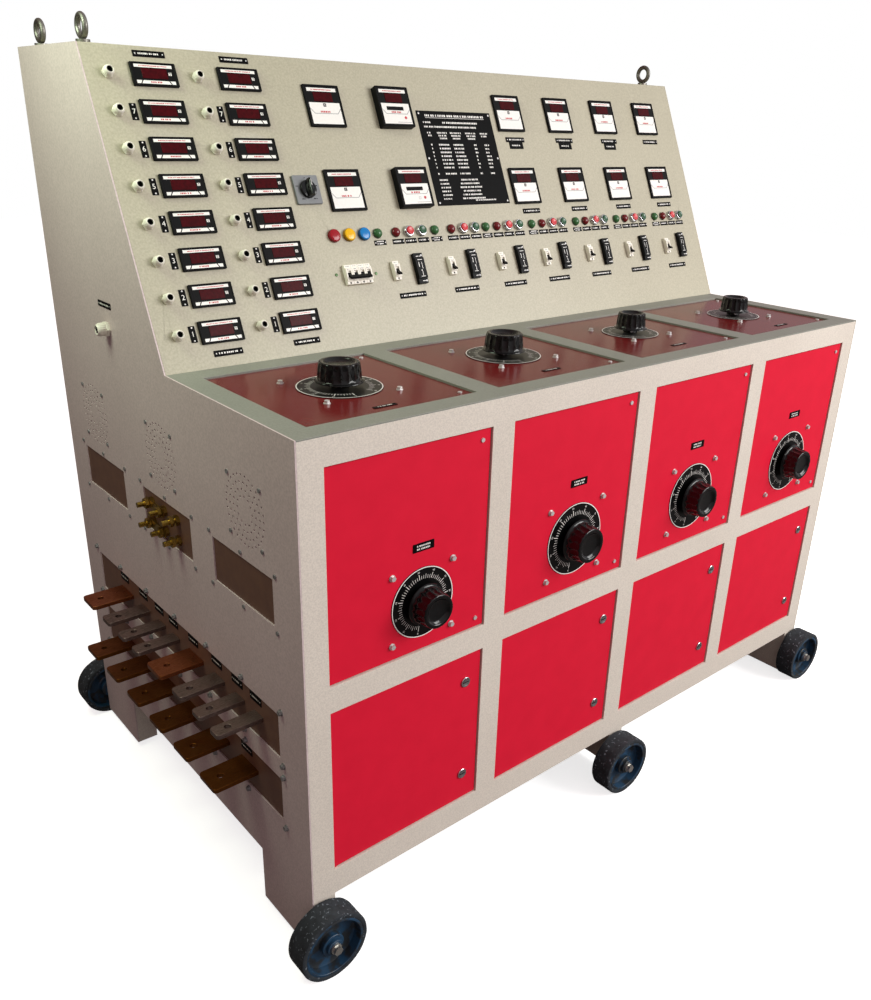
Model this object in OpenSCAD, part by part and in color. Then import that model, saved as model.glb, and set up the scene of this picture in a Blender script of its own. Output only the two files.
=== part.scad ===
// High-current test bench on wheels: a sheet-steel console that holds eight variable transformers.
// Bench coordinates: X to the right from the left side panel, Y back from the face, Z up from the floor.

/* [Cabinet] */
// Width over the two side panels
cab_w = 1830; // [1820:10:2000]
// Depth of the flat desk
desk_d = 490; // [480:5:540]
// Height of the cabinet's underside above the floor
base_z = 153; // [145:1:190]
// Height of the front face below the desk
face_h = 1000; // [990:5:1020]
// Rise of the sloping panel
slope_rise = 602; // [600:1:680]
// Run of the sloping panel towards the back
slope_run = 272; // [240:1:300]
// Depth of the hood's flat top
hood_d = 350; // [320:5:420]
// Thickness of the cabinet's sheet steel
sheet_t = 3; // [2:0.5:4]
// Depth of the folded frame members
member_d = 40; // [36:1:50]

/* [Bays] */
// Width of the stiles at the left and right edges
rim_w = 55; // [50:1:65]
// Width of the posts between two bays
post_w = 58; // [50:1:66]
// Height of the top rail
top_rail = 57; // [50:1:65]
// Height of an upper opening
upper_h = 439; // [420:1:445]
// Height of the middle rail
mid_rail = 58; // [50:1:65]
// Height of a lower opening
lower_h = 383; // [370:1:390]
// Margin in front of a desk opening
desk_margin = 52; // [48:1:60]
// Depth of a desk opening
desk_open = 381; // [360:1:385]
// How far panels and doors sit behind the frame's face
recess = 4; // [3:0.5:5]
// Thickness of the red panels and doors
panel_t = 2; // [1.5:0.5:3]
// Gap round a panel or door
panel_gap = 2.5; // [2:0.5:3]
// Width of the ledge behind each opening
ledge_w = 30; // [28:1:32]
// Depth of the ledge's face behind the frame's face
ledge_at = 20; // [19:1:24]
// Distance of a panel screw from the panel's edges
screw_in = 21; // [18:1:22]

/* [Legs and wheels] */
// Depth of a leg along the side
leg_d = 205; // [180:5:230]
// Clearance between a leg and the floor
leg_clear = 15; // [10:1:25]
// Wall of a leg channel
leg_t = 4; // [3:0.5:5]
// Distance of the wheel axles from the cabinet's side
axle_in = 14; // [14:0.5:18]
// Distance of the middle legs from the left side
mid_leg_x = 918; // [860:1:960]
// Wheel diameter
wheel_d = 158; // [150:1:164]
// Wheel width
wheel_w = 56; // [48:1:60]
// Gap between wheel and leg
wheel_gap = 5; // [4:0.5:8]
// Thickness of the tyre
tyre_t = 11; // [9:1:15]
// Axle radius
axle_r = 6; // [5:0.5:6.5]
// Radial running clearance of wheels, shafts, pins and locks
run_fit = 0.05; // [0.02:0.01:0.09]

/* [Variable transformers] */
// Shift of each front dial from the middle of its bay
dial_shift = [28, 18, 4, 6];
// Depth of each front dial below the desk
dial_drop = [388, 371, 371, 371];
// Shift of each desk dial from the middle of its bay
desk_dial_shift = [2, 13, 13, 16];
// Distance of each desk dial from the front edge
desk_dial_y = [243, 259, 257, 250];
// Size of each desk set, as a share of the large ones
desk_k = [1, 1, 0.84, 0.84];
// Radius of a dial plate
dial_r = 86; // [80:1:90]
// Side of the square of fixing bolts
bolt_sq = 168; // [160:1:176]
// Radius of the winding
coil_r = 86; // [80:1:87]
// Radius of the hole in the winding
coil_hole_r = 45; // [40:1:48]
// Height of the winding
coil_h = 80; // [60:1:90]
// Size of the smaller set in the first bay, as a share of the others
small_k = 0.89; // [0.85:0.01:1]
// Shaft radius
shaft_r = 5; // [4:0.5:6]
// Knob body radius
knob_r = 44; // [40:1:46]
// Radius of the knob's skirt
skirt_r = 50; // [48:1:54]
// Height of the knob's top above its panel
knob_h = 52; // [46:1:56]
// Flutes round a knob
flutes = 18; // [12:1:20]

/* [Instrument panel] */
// Distance of the first small meter column from the left side
col_x = 143; // [138:1:150]
// Spacing of the two small meter columns
col_pitch = 190; // [184:1:196]
// Height of the top small meter up the slope
row_top = 602; // [596:1:606]
// Spacing of the small meter rows
row_pitch = 75.5; // [72:0.5:77]
// Width of a meter
meter_w = 96; // [90:1:98]
// Distance of the left pair of large meters from the left side
large_x = 535; // [530:1:540]
// Spacing between the pairs of large meters
large_pitch = 193; // [180:1:196]
// Distance of the first of the eight output meters from the left side
out_x = 1114; // [1110:1:1118]
// Spacing of the output meters
out_pitch = 191; // [186:1:196]
// Height of the upper large meters up the slope
large_top = 552; // [545:1:560]
// Height of the lower large meters up the slope
large_low = 358; // [352:1:364]
// Height of the lamps and buttons up the slope
lamp_s = 255; // [252:1:258]
// Distance of the first control group from the left side
group_x = 596; // [594:1:600]
// Spacing of the seven control groups
group_pitch = 171; // [165:1:172]
// Shift of each control group from the even spacing
group_shift = [0, 2, 1, -3, 0, 2, 9];
// Height of the breakers up the slope
breaker_s = 163; // [158:1:168]
// Lamp lens radius
lamp_r = 12; // [10:0.5:13]
// Push-button bezel radius
bezel_r = 14; // [13:0.5:15]
// Travel of a push button
press = 4; // [3:0.5:5]

/* [Left side outlets] */
// Distance of the first fan from the front
fan_y = 186; // [180:1:200]
// Spacing of the fans
fan_pitch = 365; // [355:1:370]
// Depth of the fans below the desk
fan_drop = 187; // [175:1:190]
// Depth of the three small boards below the desk
board_drop = 340; // [338:1:345]
// Width of a small board's window
board_w = 235; // [220:1:240]
// Height of a small board's window
board_h = 98; // [90:1:100]
// Depth of the upper row of copper bars below the desk
bars_drop = 641; // [638:1:645]
// Spacing of the two rows of bars
bars_row = 156; // [156:1:162]
// Length of the slots for the bars
slot_len = 912; // [905:1:920]
// Height of the slots for the bars
slot_h = 104; // [96:1:106]
// Thickness of the insulating boards
board_t = 8; // [6:1:10]
// How far a bar stands out of the side panel
bar_out = 98; // [80:1:110]
// Length of a bar inside the cabinet
bar_in = 70; // [50:1:90]
// Thickness of a bar
bar_t = 10; // [6:1:12]
// Hole radius of a bar
bar_hole_r = 7; // [5:0.5:8]

/* [Doors] */
// Radius of a lock's head
lock_r = 12; // [10:0.5:13]
// Distance of the locks from the door's right edge
lock_in = 43; // [40:1:46]
// Distance of the locks from the opening's top and bottom
lock_drop = 70; // [65:1:80]

/* [Hidden] */
$fn = 48;
cut = 1;            // how far a cutting shape runs past a face
bays = 4;
groups = 7;
rows = 8;

// heights and depths of the cabinet
desk_h = base_z + face_h;
cab_d = desk_d + slope_run + hood_d;
top_z = desk_h + slope_rise;
slope_a = atan2(slope_rise, slope_run);
slope_len = norm([slope_rise, slope_run]);
bay_w = (cab_w - 2 * rim_w - (bays - 1) * post_w) / bays;
upper_z = desk_h - top_rail - upper_h;
lower_z = upper_z - mid_rail - lower_h;
inner_w = cab_w - 2 * sheet_t;
function bay_x(i) = rim_w + i * (bay_w + post_w);

// fixings
bolt_r = 3;
bolt_hole_r = 3.4;
head_h = 5;
screw_r = 2.5;
screw_head_r = 4.5;
screw_head_h = 2.5;
label_t = 1.2;
flange_t = 2;
pin_r = 3;
hinge_in = 4;

// variable transformers: z runs out of the panel, and z = 0 is the panel's face
base_t = 4;
spacer_t = 10;
coil_top = -panel_t - base_t - spacer_t;
coil_end = coil_top - coil_h;
clamp_t = 4;
bush_r = 11;
bush_end = coil_end - 2 * clamp_t;
arm_gap = 2;
arm_t = 6;
arm_w = 16;
arm_end = bush_end - arm_gap - arm_t;
brush_gap = 0.3;
brush_w = 12;
dial_t = 1.5;
knob_gap = 1.5;
hub_r = 18;
skirt_z = 12;
skirt_t = 3;
dish_r = 30;
dish_d = 7;
flute_r = 5;

// wheels and legs
axle_z = wheel_d / 2;
hub_out_r = wheel_d / 2 - tyre_t;
axle_head = 8;
axle_out = wheel_gap + wheel_w + 4;
rear_y = cab_d;
leg_w = rim_w - sheet_t;
wheel_names = ["left", "middle", "right"];
wheel_x = [axle_in, mid_leg_x + axle_in, cab_w - axle_in];

// copper bars of one row: distance of the bar's middle from the front, and its width
upper_bars = [[188, 36], [266, 38], [357, 46], [469, 72], [571, 36], [649, 38], [740, 46], [852, 72]];
lower_first = 242;
lower_pitch = 127;
lower_w = 72;
lower_bars = [for (i = [0:5]) [lower_first + i * lower_pitch, lower_w]];
bar_rows = [[upper_bars, desk_h - bars_drop], [lower_bars, desk_h - bars_drop - bars_row]];
slot_y = 102;
bar_r = 8;
bar_hole_in = 32;
bar_fit = 0.3;
board_lap = 22;

// the cabinet's middle, which is moved to the origin
mid_x = (wheel_x[2] + wheel_d / 2 - bar_out) / 2;
mid_y = cab_d / 2;

module bench() translate([-mid_x, -mid_y, 0]) children();
module on_face(x, z) translate([x, 0, z]) rotate([90, 0, 0]) children();
module on_back(x, z) translate([x, rear_y, z]) rotate([90, 0, 180]) children();
module on_desk(x, y) translate([x, y, desk_h]) children();
module on_left(y, z) translate([0, y, z]) rotate([90, 0, -90]) children();
module on_slope(x, s) translate([x, desk_d, desk_h]) rotate([slope_a, 0, 0]) translate([0, s, 0]) children();
module box(w, h, low, high) translate([-w / 2, -h / 2, low]) cube([w, h, high - low]);
module rod(r, low, high) translate([0, 0, low]) cylinder(r = r, h = high - low);
module hexagon(r, low, high) translate([0, 0, low]) cylinder(r = r, h = high - low, $fn = 6);
module corners(w, h) for (x = [-w / 2, w / 2], y = [-h / 2, h / 2]) translate([x, y, 0]) children();

// ---- folded frames -------------------------------------------------------------------------------

// lining of an opening with a ledge behind it, its lower left corner at the origin
module lining(w, h) {
    difference() {
        translate([-sheet_t, -sheet_t, -member_d]) cube([w + 2 * sheet_t, h + 2 * sheet_t, member_d]);
        translate([0, 0, -member_d - cut]) cube([w, h, member_d + 2 * cut]);
    }
    difference() {
        translate([-cut, -cut, -ledge_at - sheet_t]) cube([w + 2 * cut, h + 2 * cut, sheet_t]);
        translate([ledge_w, ledge_w, -ledge_at - sheet_t - cut])
            cube([w - 2 * ledge_w, h - 2 * ledge_w, sheet_t + 2 * cut]);
    }
}

module screw_holes(w, h)
    for (y = [screw_in + panel_gap, h - screw_in - panel_gap])
        translate([w - screw_in - panel_gap, y, 0]) rod(screw_r, -ledge_at - sheet_t - cut, cut);

module front_frame() color("#d9d3c4") {
    hinge_x = panel_gap + hinge_in;
    difference() {
        union() {
            difference() {
                translate([sheet_t, 0, base_z]) cube([inner_w, member_d, face_h - sheet_t]);
                translate([2 * sheet_t, sheet_t, base_z + sheet_t])
                    cube([inner_w - 2 * sheet_t, member_d, face_h - 3 * sheet_t]);
                for (i = [0:bays - 1]) {
                    on_face(bay_x(i), upper_z) translate([0, 0, -member_d]) cube([bay_w, upper_h, member_d + cut]);
                    on_face(bay_x(i), lower_z) translate([0, 0, -member_d]) cube([bay_w, lower_h, member_d + cut]);
                }
            }
            for (i = [0:bays - 1]) {
                on_face(bay_x(i), upper_z) lining(bay_w, upper_h);
                on_face(bay_x(i), lower_z) lining(bay_w, lower_h);
            }
        }
        for (i = [0:bays - 1]) {
            on_face(bay_x(i), upper_z) screw_holes(bay_w, upper_h);
            translate([bay_x(i) + hinge_x, recess + hinge_in, lower_z])
                rod(pin_r + run_fit, -sheet_t - cut, lower_h + sheet_t + cut);
        }
    }
}

module desk_frame() color("#8d8f7f") difference() {
    union() {
        difference() {
            translate([sheet_t, 0, desk_h - sheet_t]) cube([inner_w, desk_d, sheet_t]);
            for (i = [0:bays - 1])
                on_desk(bay_x(i), desk_margin) translate([0, 0, -member_d]) cube([bay_w, desk_open, member_d + cut]);
        }
        for (x = [sheet_t, cab_w - 2 * sheet_t])
            translate([x, member_d, desk_h - member_d]) cube([sheet_t, desk_d - member_d, member_d - cut]);
        for (i = [0:bays - 1]) on_desk(bay_x(i), desk_margin) lining(bay_w, desk_open);
    }
    for (i = [0:bays - 1]) on_desk(bay_x(i), desk_margin) screw_holes(bay_w, desk_open);
}

// ---- side panels ---------------------------------------------------------------------------------

side_outline = [
    [0, leg_clear], [leg_d, leg_clear], [leg_d, base_z], [cab_d - leg_d, base_z], [cab_d - leg_d, leg_clear],
    [cab_d, leg_clear], [cab_d, top_z], [desk_d + slope_run, top_z], [desk_d, desk_h], [0, desk_h]
];

module side_sheet() rotate([90, 0, 90]) linear_extrude(sheet_t) polygon(side_outline);

fan_rings = [[28, 12], [42, 18], [56, 24], [70, 30]];
vent_hole_r = 2.6;
fan_screw_sq = 120;

module vent_holes() {
    for (ring = fan_rings, k = [0:ring[1] - 1])
        rotate(k * 360 / ring[1]) translate([ring[0], 0, 0]) rod(vent_hole_r, -sheet_t - cut, cut);
    corners(fan_screw_sq, fan_screw_sq) rod(bolt_hole_r, -sheet_t - cut, cut);
}

module fan_places() for (i = [0:2]) on_left(fan_y + i * fan_pitch, desk_h - fan_drop) children();

small_board_y = [214, 549, 893];
board_screw_x = board_w / 2 + 11;
board_screw_z = board_h / 2 + 10;
slot_screws = 7;
slot_screw_z = slot_h / 2 + 12;
slot_screw_x = slot_len / 2 + 12;

module small_board_places() for (y = small_board_y) on_left(y, desk_h - board_drop) children();
module slot_places() for (row = bar_rows) on_left(slot_y + slot_len / 2, row[1]) children();
module board_screws() for (x = [-board_screw_x, 0, board_screw_x], z = [-board_screw_z, board_screw_z])
    translate([x, z, 0]) children();
module slot_bolts() for (i = [0:slot_screws - 1], z = [-slot_screw_z, slot_screw_z])
    translate([-slot_screw_x + i * 2 * slot_screw_x / (slot_screws - 1), z, 0]) children();

side_gland = [765, desk_h + 44];
gland_hole_r = 8.2;
side_gland_k = 1.4;

module left_side() color("#b3aa9c") difference() {
    side_sheet();
    fan_places() vent_holes();
    small_board_places() {
        box(board_w, board_h, -sheet_t - cut, cut);
        board_screws() rod(bolt_hole_r, -sheet_t - cut, cut);
    }
    slot_places() {
        box(slot_len, slot_h, -sheet_t - cut, cut);
        slot_bolts() rod(bolt_hole_r, -sheet_t - cut, cut);
    }
    on_left(side_gland[0], side_gland[1]) rod(gland_hole_r * side_gland_k, -sheet_t - cut, cut);
}

module right_side() color("#b3aa9c") translate([cab_w - sheet_t, 0, 0]) side_sheet();

// ---- hood and shell ------------------------------------------------------------------------------

small_h = 48;
small_cut_w = 92;
small_cut_h = 44;
large_cut = 91;
gland_dx = -96;
tag_dx = -62;
flange_down = 25;
gland_places = [for (c = [0, 1], r = [0:rows - 1]) [col_x + c * col_pitch + gland_dx, row_top - r * row_pitch]];
small_places = [for (c = [0, 1], r = [0:rows - 1]) [col_x + c * col_pitch, row_top - r * row_pitch]];
deep_places = [for (s = [large_top, large_low]) [large_x + large_pitch, s]];
flat_places = concat(
    [for (s = [large_top, large_low]) [large_x, s]],
    [for (s = [large_top, large_low], i = [0:3]) [out_x + i * out_pitch, s]]
);
phase_x = 474;
phase_pitch = 41.5;
phase_r = 15;
phase_places = [for (i = [0:2]) [phase_x + i * phase_pitch, lamp_s]];
red_lamp_dx = 39;
stop_dx = 77;
start_dx = 116;
first_gap = 14.5;   // the first two groups leave more room after the green lamp
lamp_hole_r = 8.2;
bezel_hole_r = 11.2;
function group_at(g) = group_x + g * group_pitch + group_shift[g];
function after_gap(g) = group_at(g) + (g < 2 ? first_gap : 0);
green_places = [for (g = [0:groups - 1]) [group_at(g), lamp_s]];
red_places = [for (g = [0:groups - 1]) [after_gap(g) + red_lamp_dx, lamp_s]];
lamp_places = concat(green_places, red_places);
stop_places = [for (g = [0:groups - 1]) [after_gap(g) + stop_dx, lamp_s]];
start_places = [for (g = [0:groups - 1]) [after_gap(g) + start_dx, lamp_s]];
breaker_w = 18;
breaker_h = 45;
breaker_out = 13;
breaker_dx = 25;
main_w = 4 * breaker_w;
main_x = 511;
cut_fit = 0.5;
breaker_places = [for (g = [0:groups - 1]) [group_at(g) + breaker_dx, breaker_s]];
module_dx = 72;
module_w = 28;
module_h = 74;
module_out = 12;
selector_at = [433, 361];
selector_sq = 65;
selector_t = 6;
selector_hole_r = 12;

module at(places) for (p = places) on_slope(p[0], p[1]) children();

module panel_cuts() {
    at(small_places) box(small_cut_w, small_cut_h, -sheet_t - cut, cut);
    at(concat(flat_places, deep_places)) box(large_cut, large_cut, -sheet_t - cut, cut);
    at(gland_places) rod(gland_hole_r, -sheet_t - cut, cut);
    at(concat(lamp_places, phase_places)) rod(lamp_hole_r, -sheet_t - cut, cut);
    at(concat(stop_places, start_places)) rod(bezel_hole_r, -sheet_t - cut, cut);
    at(breaker_places) box(breaker_w + cut_fit, breaker_h + cut_fit, -sheet_t - cut, cut);
    on_slope(main_x, breaker_s) box(main_w + cut_fit, breaker_h + cut_fit, -sheet_t - cut, cut);
    on_slope(selector_at[0], selector_at[1]) rod(selector_hole_r, -sheet_t - cut, cut);
}

hood_top_y = desk_d + slope_run;
corner_in = sheet_t * tan((90 - slope_a) / 2);

module instrument_hood() color("#cfc8b4") difference() {
    translate([sheet_t, 0, 0]) rotate([90, 0, 90]) linear_extrude(inner_w) polygon([
        [desk_d, desk_h], [hood_top_y, top_z], [cab_d - sheet_t, top_z], [cab_d - sheet_t, top_z - sheet_t],
        [hood_top_y + corner_in, top_z - sheet_t],
        [desk_d + sheet_t, desk_h - corner_in],
        [desk_d + sheet_t, desk_h - flange_down], [desk_d, desk_h - flange_down]
    ]);
    panel_cuts();
    for (p = eye_places) translate([p[0], p[1], top_z]) rod(eye_shank_r + 0.2, -sheet_t - cut, cut);
}

eye_front = 60;
eye_back = 42;
eye_side = 38;
eye_shank_r = 6;
eye_r = 20;
eye_rod_r = 6;
eye_z = eye_r + 2 * eye_rod_r;
collar_r = 14;
collar_h = 8;
eye_places = [
    [eye_side, hood_top_y + eye_front], [eye_side, cab_d - eye_back], [cab_w - eye_side, hood_top_y + eye_front]
];

module eye_ring() translate([0, 0, eye_z]) rotate([90, 0, 90])
    rotate_extrude() translate([eye_r, 0]) circle(eye_rod_r);

module lifting_eyes() color("#8d8f92") for (p = eye_places) translate([p[0], p[1], top_z]) {
    eye_ring();
    difference() {
        rod(collar_r, 0, collar_h);
        eye_ring();
    }
    rod(eye_shank_r, -sheet_t - 12, 0);
    hexagon(1.7 * eye_shank_r, -sheet_t - 10, -sheet_t);
}

cover_in = 90;
cover_t = 2;
cover_gap = 60;
cover_w = (cab_w - 2 * cover_in - cover_gap) / 2;
cover_low = base_z + cover_in;
cover_top = desk_h + slope_rise - cover_in;
louvres = 8;
louvre_pitch = 26;
louvre_w = 320;
louvre_h = 8;

module back_panel() color("#cfc8b4") {
    difference() {
        translate([sheet_t, cab_d - sheet_t, base_z]) cube([inner_w, sheet_t, top_z - base_z]);
        for (k = [0, 1]) translate([cover_in + k * (cover_w + cover_gap), cab_d - sheet_t - cut, cover_low])
            translate([ledge_w, 0, ledge_w])
                cube([cover_w - 2 * ledge_w, sheet_t + 2 * cut, cover_top - cover_low - 2 * ledge_w]);
    }
    for (k = [0, 1]) translate([cover_in + k * (cover_w + cover_gap), cab_d, cover_low]) difference() {
        cube([cover_w, cover_t, cover_top - cover_low]);
        for (i = [0:louvres - 1], low = [cover_in, cover_top - cover_low - cover_in - louvres * louvre_pitch])
            translate([(cover_w - louvre_w) / 2, -cut, low + i * louvre_pitch])
                cube([louvre_w, cover_t + 2 * cut, louvre_h]);
    }
}

rail_y = 560;
rail_span = 260;
rail_w = 40;
rail_h = 20;

module floor_pan() color("#8f897d") {
    translate([sheet_t, member_d, base_z]) cube([inner_w, cab_d - member_d - sheet_t, sheet_t]);
    for (y = [rail_y, rail_y + rail_span]) translate([sheet_t, y, base_z + sheet_t])
        cube([inner_w, rail_w, rail_h]);
}

// leg channel at the front: its outer side is open, its front wall carries the axle
module leg(k) {
    flip = k == 2 ? [1, 0, 0] : [0, 0, 0];
    x = k == 0 ? sheet_t : k == 1 ? mid_leg_x : cab_w - sheet_t;
    translate([x, 0, leg_clear]) mirror(flip) difference() {
        cube([leg_w, leg_d, base_z - leg_clear]);
        translate([-cut, leg_t, -cut]) cube([leg_w - leg_t + cut, leg_d - 2 * leg_t, base_z - leg_clear - leg_t + cut]);
    }
}

module legs() color("#cfc8b4") difference() {
    for (k = [0:2]) {
        leg(k);
        translate([0, cab_d, 0]) mirror([0, 1, 0]) leg(k);
    }
    for (k = [0:2]) {
        on_face(wheel_x[k], axle_z) rod(axle_r + 0.1, -leg_t - cut, cut);
        on_back(wheel_x[k], axle_z) rod(axle_r + 0.1, -leg_t - cut, cut);
    }
}

// ---- red panels ----------------------------------------------------------------------------------

// folded panel in an opening of w by h, with its lower left corner at the opening's
module tray(w, h, deep) translate([panel_gap, panel_gap, -recess]) difference() {
    translate([0, 0, -deep]) cube([w - 2 * panel_gap, h - 2 * panel_gap, deep]);
    translate([flange_t, flange_t, -deep - cut])
        cube([w - 2 * panel_gap - 2 * flange_t, h - 2 * panel_gap - 2 * flange_t, deep - panel_t + cut]);
}

front_dials = [for (i = [0:bays - 1]) [bay_x(i) + bay_w / 2 + dial_shift[i], desk_h - dial_drop[i], i == 0 ? small_k : 1]];
desk_dials = [for (i = [0:bays - 1]) [bay_x(i) + bay_w / 2 + desk_dial_shift[i], desk_dial_y[i], desk_k[i]]];
shaft_hole_r = shaft_r + 3;

module front_variac(i) on_face(front_dials[i][0], front_dials[i][1]) translate([0, 0, -recess]) children();
module desk_variac(i) on_desk(desk_dials[i][0], desk_dials[i][1]) translate([0, 0, -recess]) children();

module variac_holes(k) {
    rod(shaft_hole_r, -ledge_at - cut, cut);
    corners(bolt_sq * k, bolt_sq * k) rod(bolt_hole_r, -ledge_at - cut, cut);
}

module upper_panels() color("#dc2743") for (i = [0:bays - 1]) difference() {
    on_face(bay_x(i), upper_z) difference() {
        tray(bay_w, upper_h, ledge_at - recess);
        screw_holes(bay_w, upper_h);
    }
    front_variac(i) variac_holes(front_dials[i][2]);
}

module desk_plates() color("#a3242f") for (i = [0:bays - 1]) difference() {
    on_desk(bay_x(i), desk_margin) difference() {
        tray(bay_w, desk_open, ledge_at - recess);
        screw_holes(bay_w, desk_open);
    }
    desk_variac(i) variac_holes(desk_dials[i][2]);
}

module dial_plate(k) difference() {
    rod(dial_r * k, 0, dial_t);
    rod(shaft_hole_r, -cut, dial_t + cut);
}

module dial_plates() color("#151515") for (i = [0:bays - 1]) {
    front_variac(i) dial_plate(front_dials[i][2]);
    desk_variac(i) dial_plate(desk_dials[i][2]);
}

// ---- variable transformers -----------------------------------------------------------------------

module coil(k) rotate_extrude() translate([coil_hole_r * k, coil_end]) square([(coil_r - coil_hole_r) * k, coil_h]);

module variac_coils() color("#b5733c") for (i = [0:bays - 1]) {
    front_variac(i) coil(front_dials[i][2]);
    desk_variac(i) coil(desk_dials[i][2]);
}

module base(k) difference() {
    union() {
        box((bolt_sq + 26) * k, (bolt_sq + 26) * k, -panel_t - base_t, -panel_t);
        difference() {
            rod(coil_r * k * 0.95, coil_top, -panel_t - base_t);
            rod(coil_hole_r * k, coil_top - cut, -panel_t);
        }
        rod(bush_r, bush_end, -panel_t - cut);
        rod(coil_hole_r * k + 8, coil_end - clamp_t, coil_end);
    }
    rod(shaft_r + run_fit, bush_end - cut, 0);
    corners(bolt_sq * k, bolt_sq * k) rod(bolt_hole_r, coil_top, cut);
}

module variac_bases() color("#4a4d50") for (i = [0:bays - 1]) {
    front_variac(i) base(front_dials[i][2]);
    desk_variac(i) base(desk_dials[i][2]);
}

module knob(k) difference() {
    union() {
        rod(hub_r, dial_t + knob_gap, knob_h - dish_d - cut);
        rod(skirt_r * k, skirt_z, skirt_z + skirt_t);
        difference() {
            rod(knob_r * k, skirt_z + skirt_t, knob_h);
            for (a = [0:flutes - 1]) rotate(a * 360 / flutes)
                translate([(knob_r + flute_r / 2) * k, 0, 0]) rod(flute_r, skirt_z + skirt_t + cut, knob_h + cut);
        }
    }
    rod(dish_r * k, knob_h - dish_d, knob_h + cut);
    rod(shaft_r, 0, knob_h - dish_d - 4);
}

module rotor(k) {
    color("#101010") knob(k);
    color("#8d8f92") {
        rod(shaft_r, arm_end, knob_h - dish_d - 4);
        difference() {
            union() {
                rod(arm_w, arm_end, arm_end + arm_t);
                translate([-arm_w / 2, 0, arm_end]) cube([arm_w, (coil_r - brush_w) * k, arm_t]);
                translate([-brush_w / 2, (coil_r - 2 * brush_w) * k, arm_end])
                    cube([brush_w, brush_w, coil_end - brush_gap - arm_end]);
            }
            rod(shaft_r, arm_end - cut, arm_end + arm_t + cut);
        }
    }
}

// ---- instruments ---------------------------------------------------------------------------------

bezel_t = 6;
deep_bezel_t = 18;
case_fit = 1;
case_d = 70;

module meter(w, h, cut_w, cut_h, proud) {
    box(w, h, 0, proud);
    box(cut_w - case_fit, cut_h - case_fit, -case_d, 0);
}

module small_meters() color("#1b1b1d") at(small_places) meter(meter_w, small_h, small_cut_w, small_cut_h, bezel_t);

module large_meters() color("#1b1b1d") {
    at(flat_places) meter(meter_w, meter_w, large_cut, large_cut, bezel_t);
    at(deep_places) meter(meter_w, meter_w, large_cut, large_cut, deep_bezel_t);
}

module gland(k) scale(k) difference() {
    union() {
        rod(8, -12, 0);
        rod(12, 0, 6);
        rod(10.5, 6, 16);
        rod(9, 16, 19);
        hexagon(12, -sheet_t / k - 5, -sheet_t / k);
    }
    rod(4.5, -12 - cut, 19 + cut);
}

module cable_glands() color("#e6e3d8") {
    at(gland_places) gland(1);
    on_left(side_gland[0], side_gland[1]) gland(side_gland_k);
}

module lamp(r, barrel_r) {
    rod(barrel_r, -35, 0);
    rod(r, 0, 4);
    translate([0, 0, 4]) intersection() {
        scale_r = r * 0.86;
        rod(scale_r, 0, 9);
        translate([0, 0, -scale_r * 0.5]) sphere(scale_r * 1.15);
    }
}

module indicator_lamps() color("#7e1b20") {
    at(lamp_places) lamp(lamp_r, lamp_hole_r - 0.2);
    at(phase_places) lamp(phase_r, lamp_hole_r - 0.2);
}

bezel_h = 10;
bezel_bore_r = 10;
barrel_end = -38;

module control_bezels() {
    color("#c9cccf") at(concat(stop_places, start_places)) difference() {
        union() {
            rod(bezel_r, 0, bezel_h);
            rod(bezel_hole_r - 0.2, barrel_end, 0);
        }
        rod(bezel_bore_r, barrel_end + 4, bezel_h + cut);
    }
    color("#6f7173") on_slope(selector_at[0], selector_at[1]) difference() {
        union() {
            box(selector_sq, selector_sq, 0, selector_t);
            rod(selector_hole_r - 0.3, -sheet_t, 0);
            box(50, 50, -60, -sheet_t);
        }
        rod(shaft_r + run_fit, -30, selector_t + cut);
    }
}

// toggle slot: the lever turns about an axis along X, toggle_z above the panel
toggle_z = breaker_out - 6;
toggle_r = 5;
toggle_throw = 40;
slot_play = 0.4;
lever_t = 5;
lever_out = 19;
lever_in = 1;
lever_room = 10;
breaker_back_h = 80;
breaker_back = 50;

module breaker(n) difference() {
    union() {
        box(n * breaker_w, breaker_h, -sheet_t, breaker_out);
        box(n * breaker_w, breaker_back_h, -breaker_back, -sheet_t);
    }
    rotate([0, 90, 0]) translate([-toggle_z, 0, -n * breaker_w / 2 + 4])
        cylinder(r = toggle_r + slot_play, h = n * breaker_w - 8);
    box(n * breaker_w - 8, 2 * toggle_r + lever_room, toggle_z, breaker_out + cut);
}

module breaker_bodies() color("#e8e2cf") {
    at(breaker_places) breaker(1);
    on_slope(main_x, breaker_s) breaker(4);
}

module toggle(n) {
    w = n * breaker_w - 8 - 2 * slot_play;
    translate([0, 0, toggle_z]) {
        rotate([0, 90, 0]) translate([0, 0, -w / 2]) cylinder(r = toggle_r, h = w);
        rotate([toggle_throw, 0, 0]) translate([lever_in - w / 2, -lever_t / 2, 0])
            cube([w - 2 * lever_in, lever_t, lever_out]);
    }
}

module breaker_toggles() color("#1a1a1a") at(breaker_places) toggle(1);
module main_breaker_toggle() color("#1a1a1a") on_slope(main_x, breaker_s) toggle(4);

module timer_modules() color("#161618") for (p = breaker_places) on_slope(p[0] + module_dx, p[1])
    box(module_w, module_h, 0, module_out);

cap_r = bezel_bore_r - bar_fit;
cap_out = 4;

module buttons(places) at(places) {
    rod(cap_r, bezel_h - 6, bezel_h + cap_out);
    rod(4, barrel_end + 4 + press + 2, bezel_h - 6);
}

module stop_buttons() color("#d8232a") buttons(stop_places);
module start_buttons() color("#1f6b33") buttons(start_places);

module selector_knob() color("#17181a") on_slope(selector_at[0], selector_at[1]) {
    rod(shaft_r, -24, selector_t + 2);
    rod(20, selector_t + 0.4, selector_t + 8);
    translate([-5, -20, selector_t + 8]) cube([10, 40, 12]);
}

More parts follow.
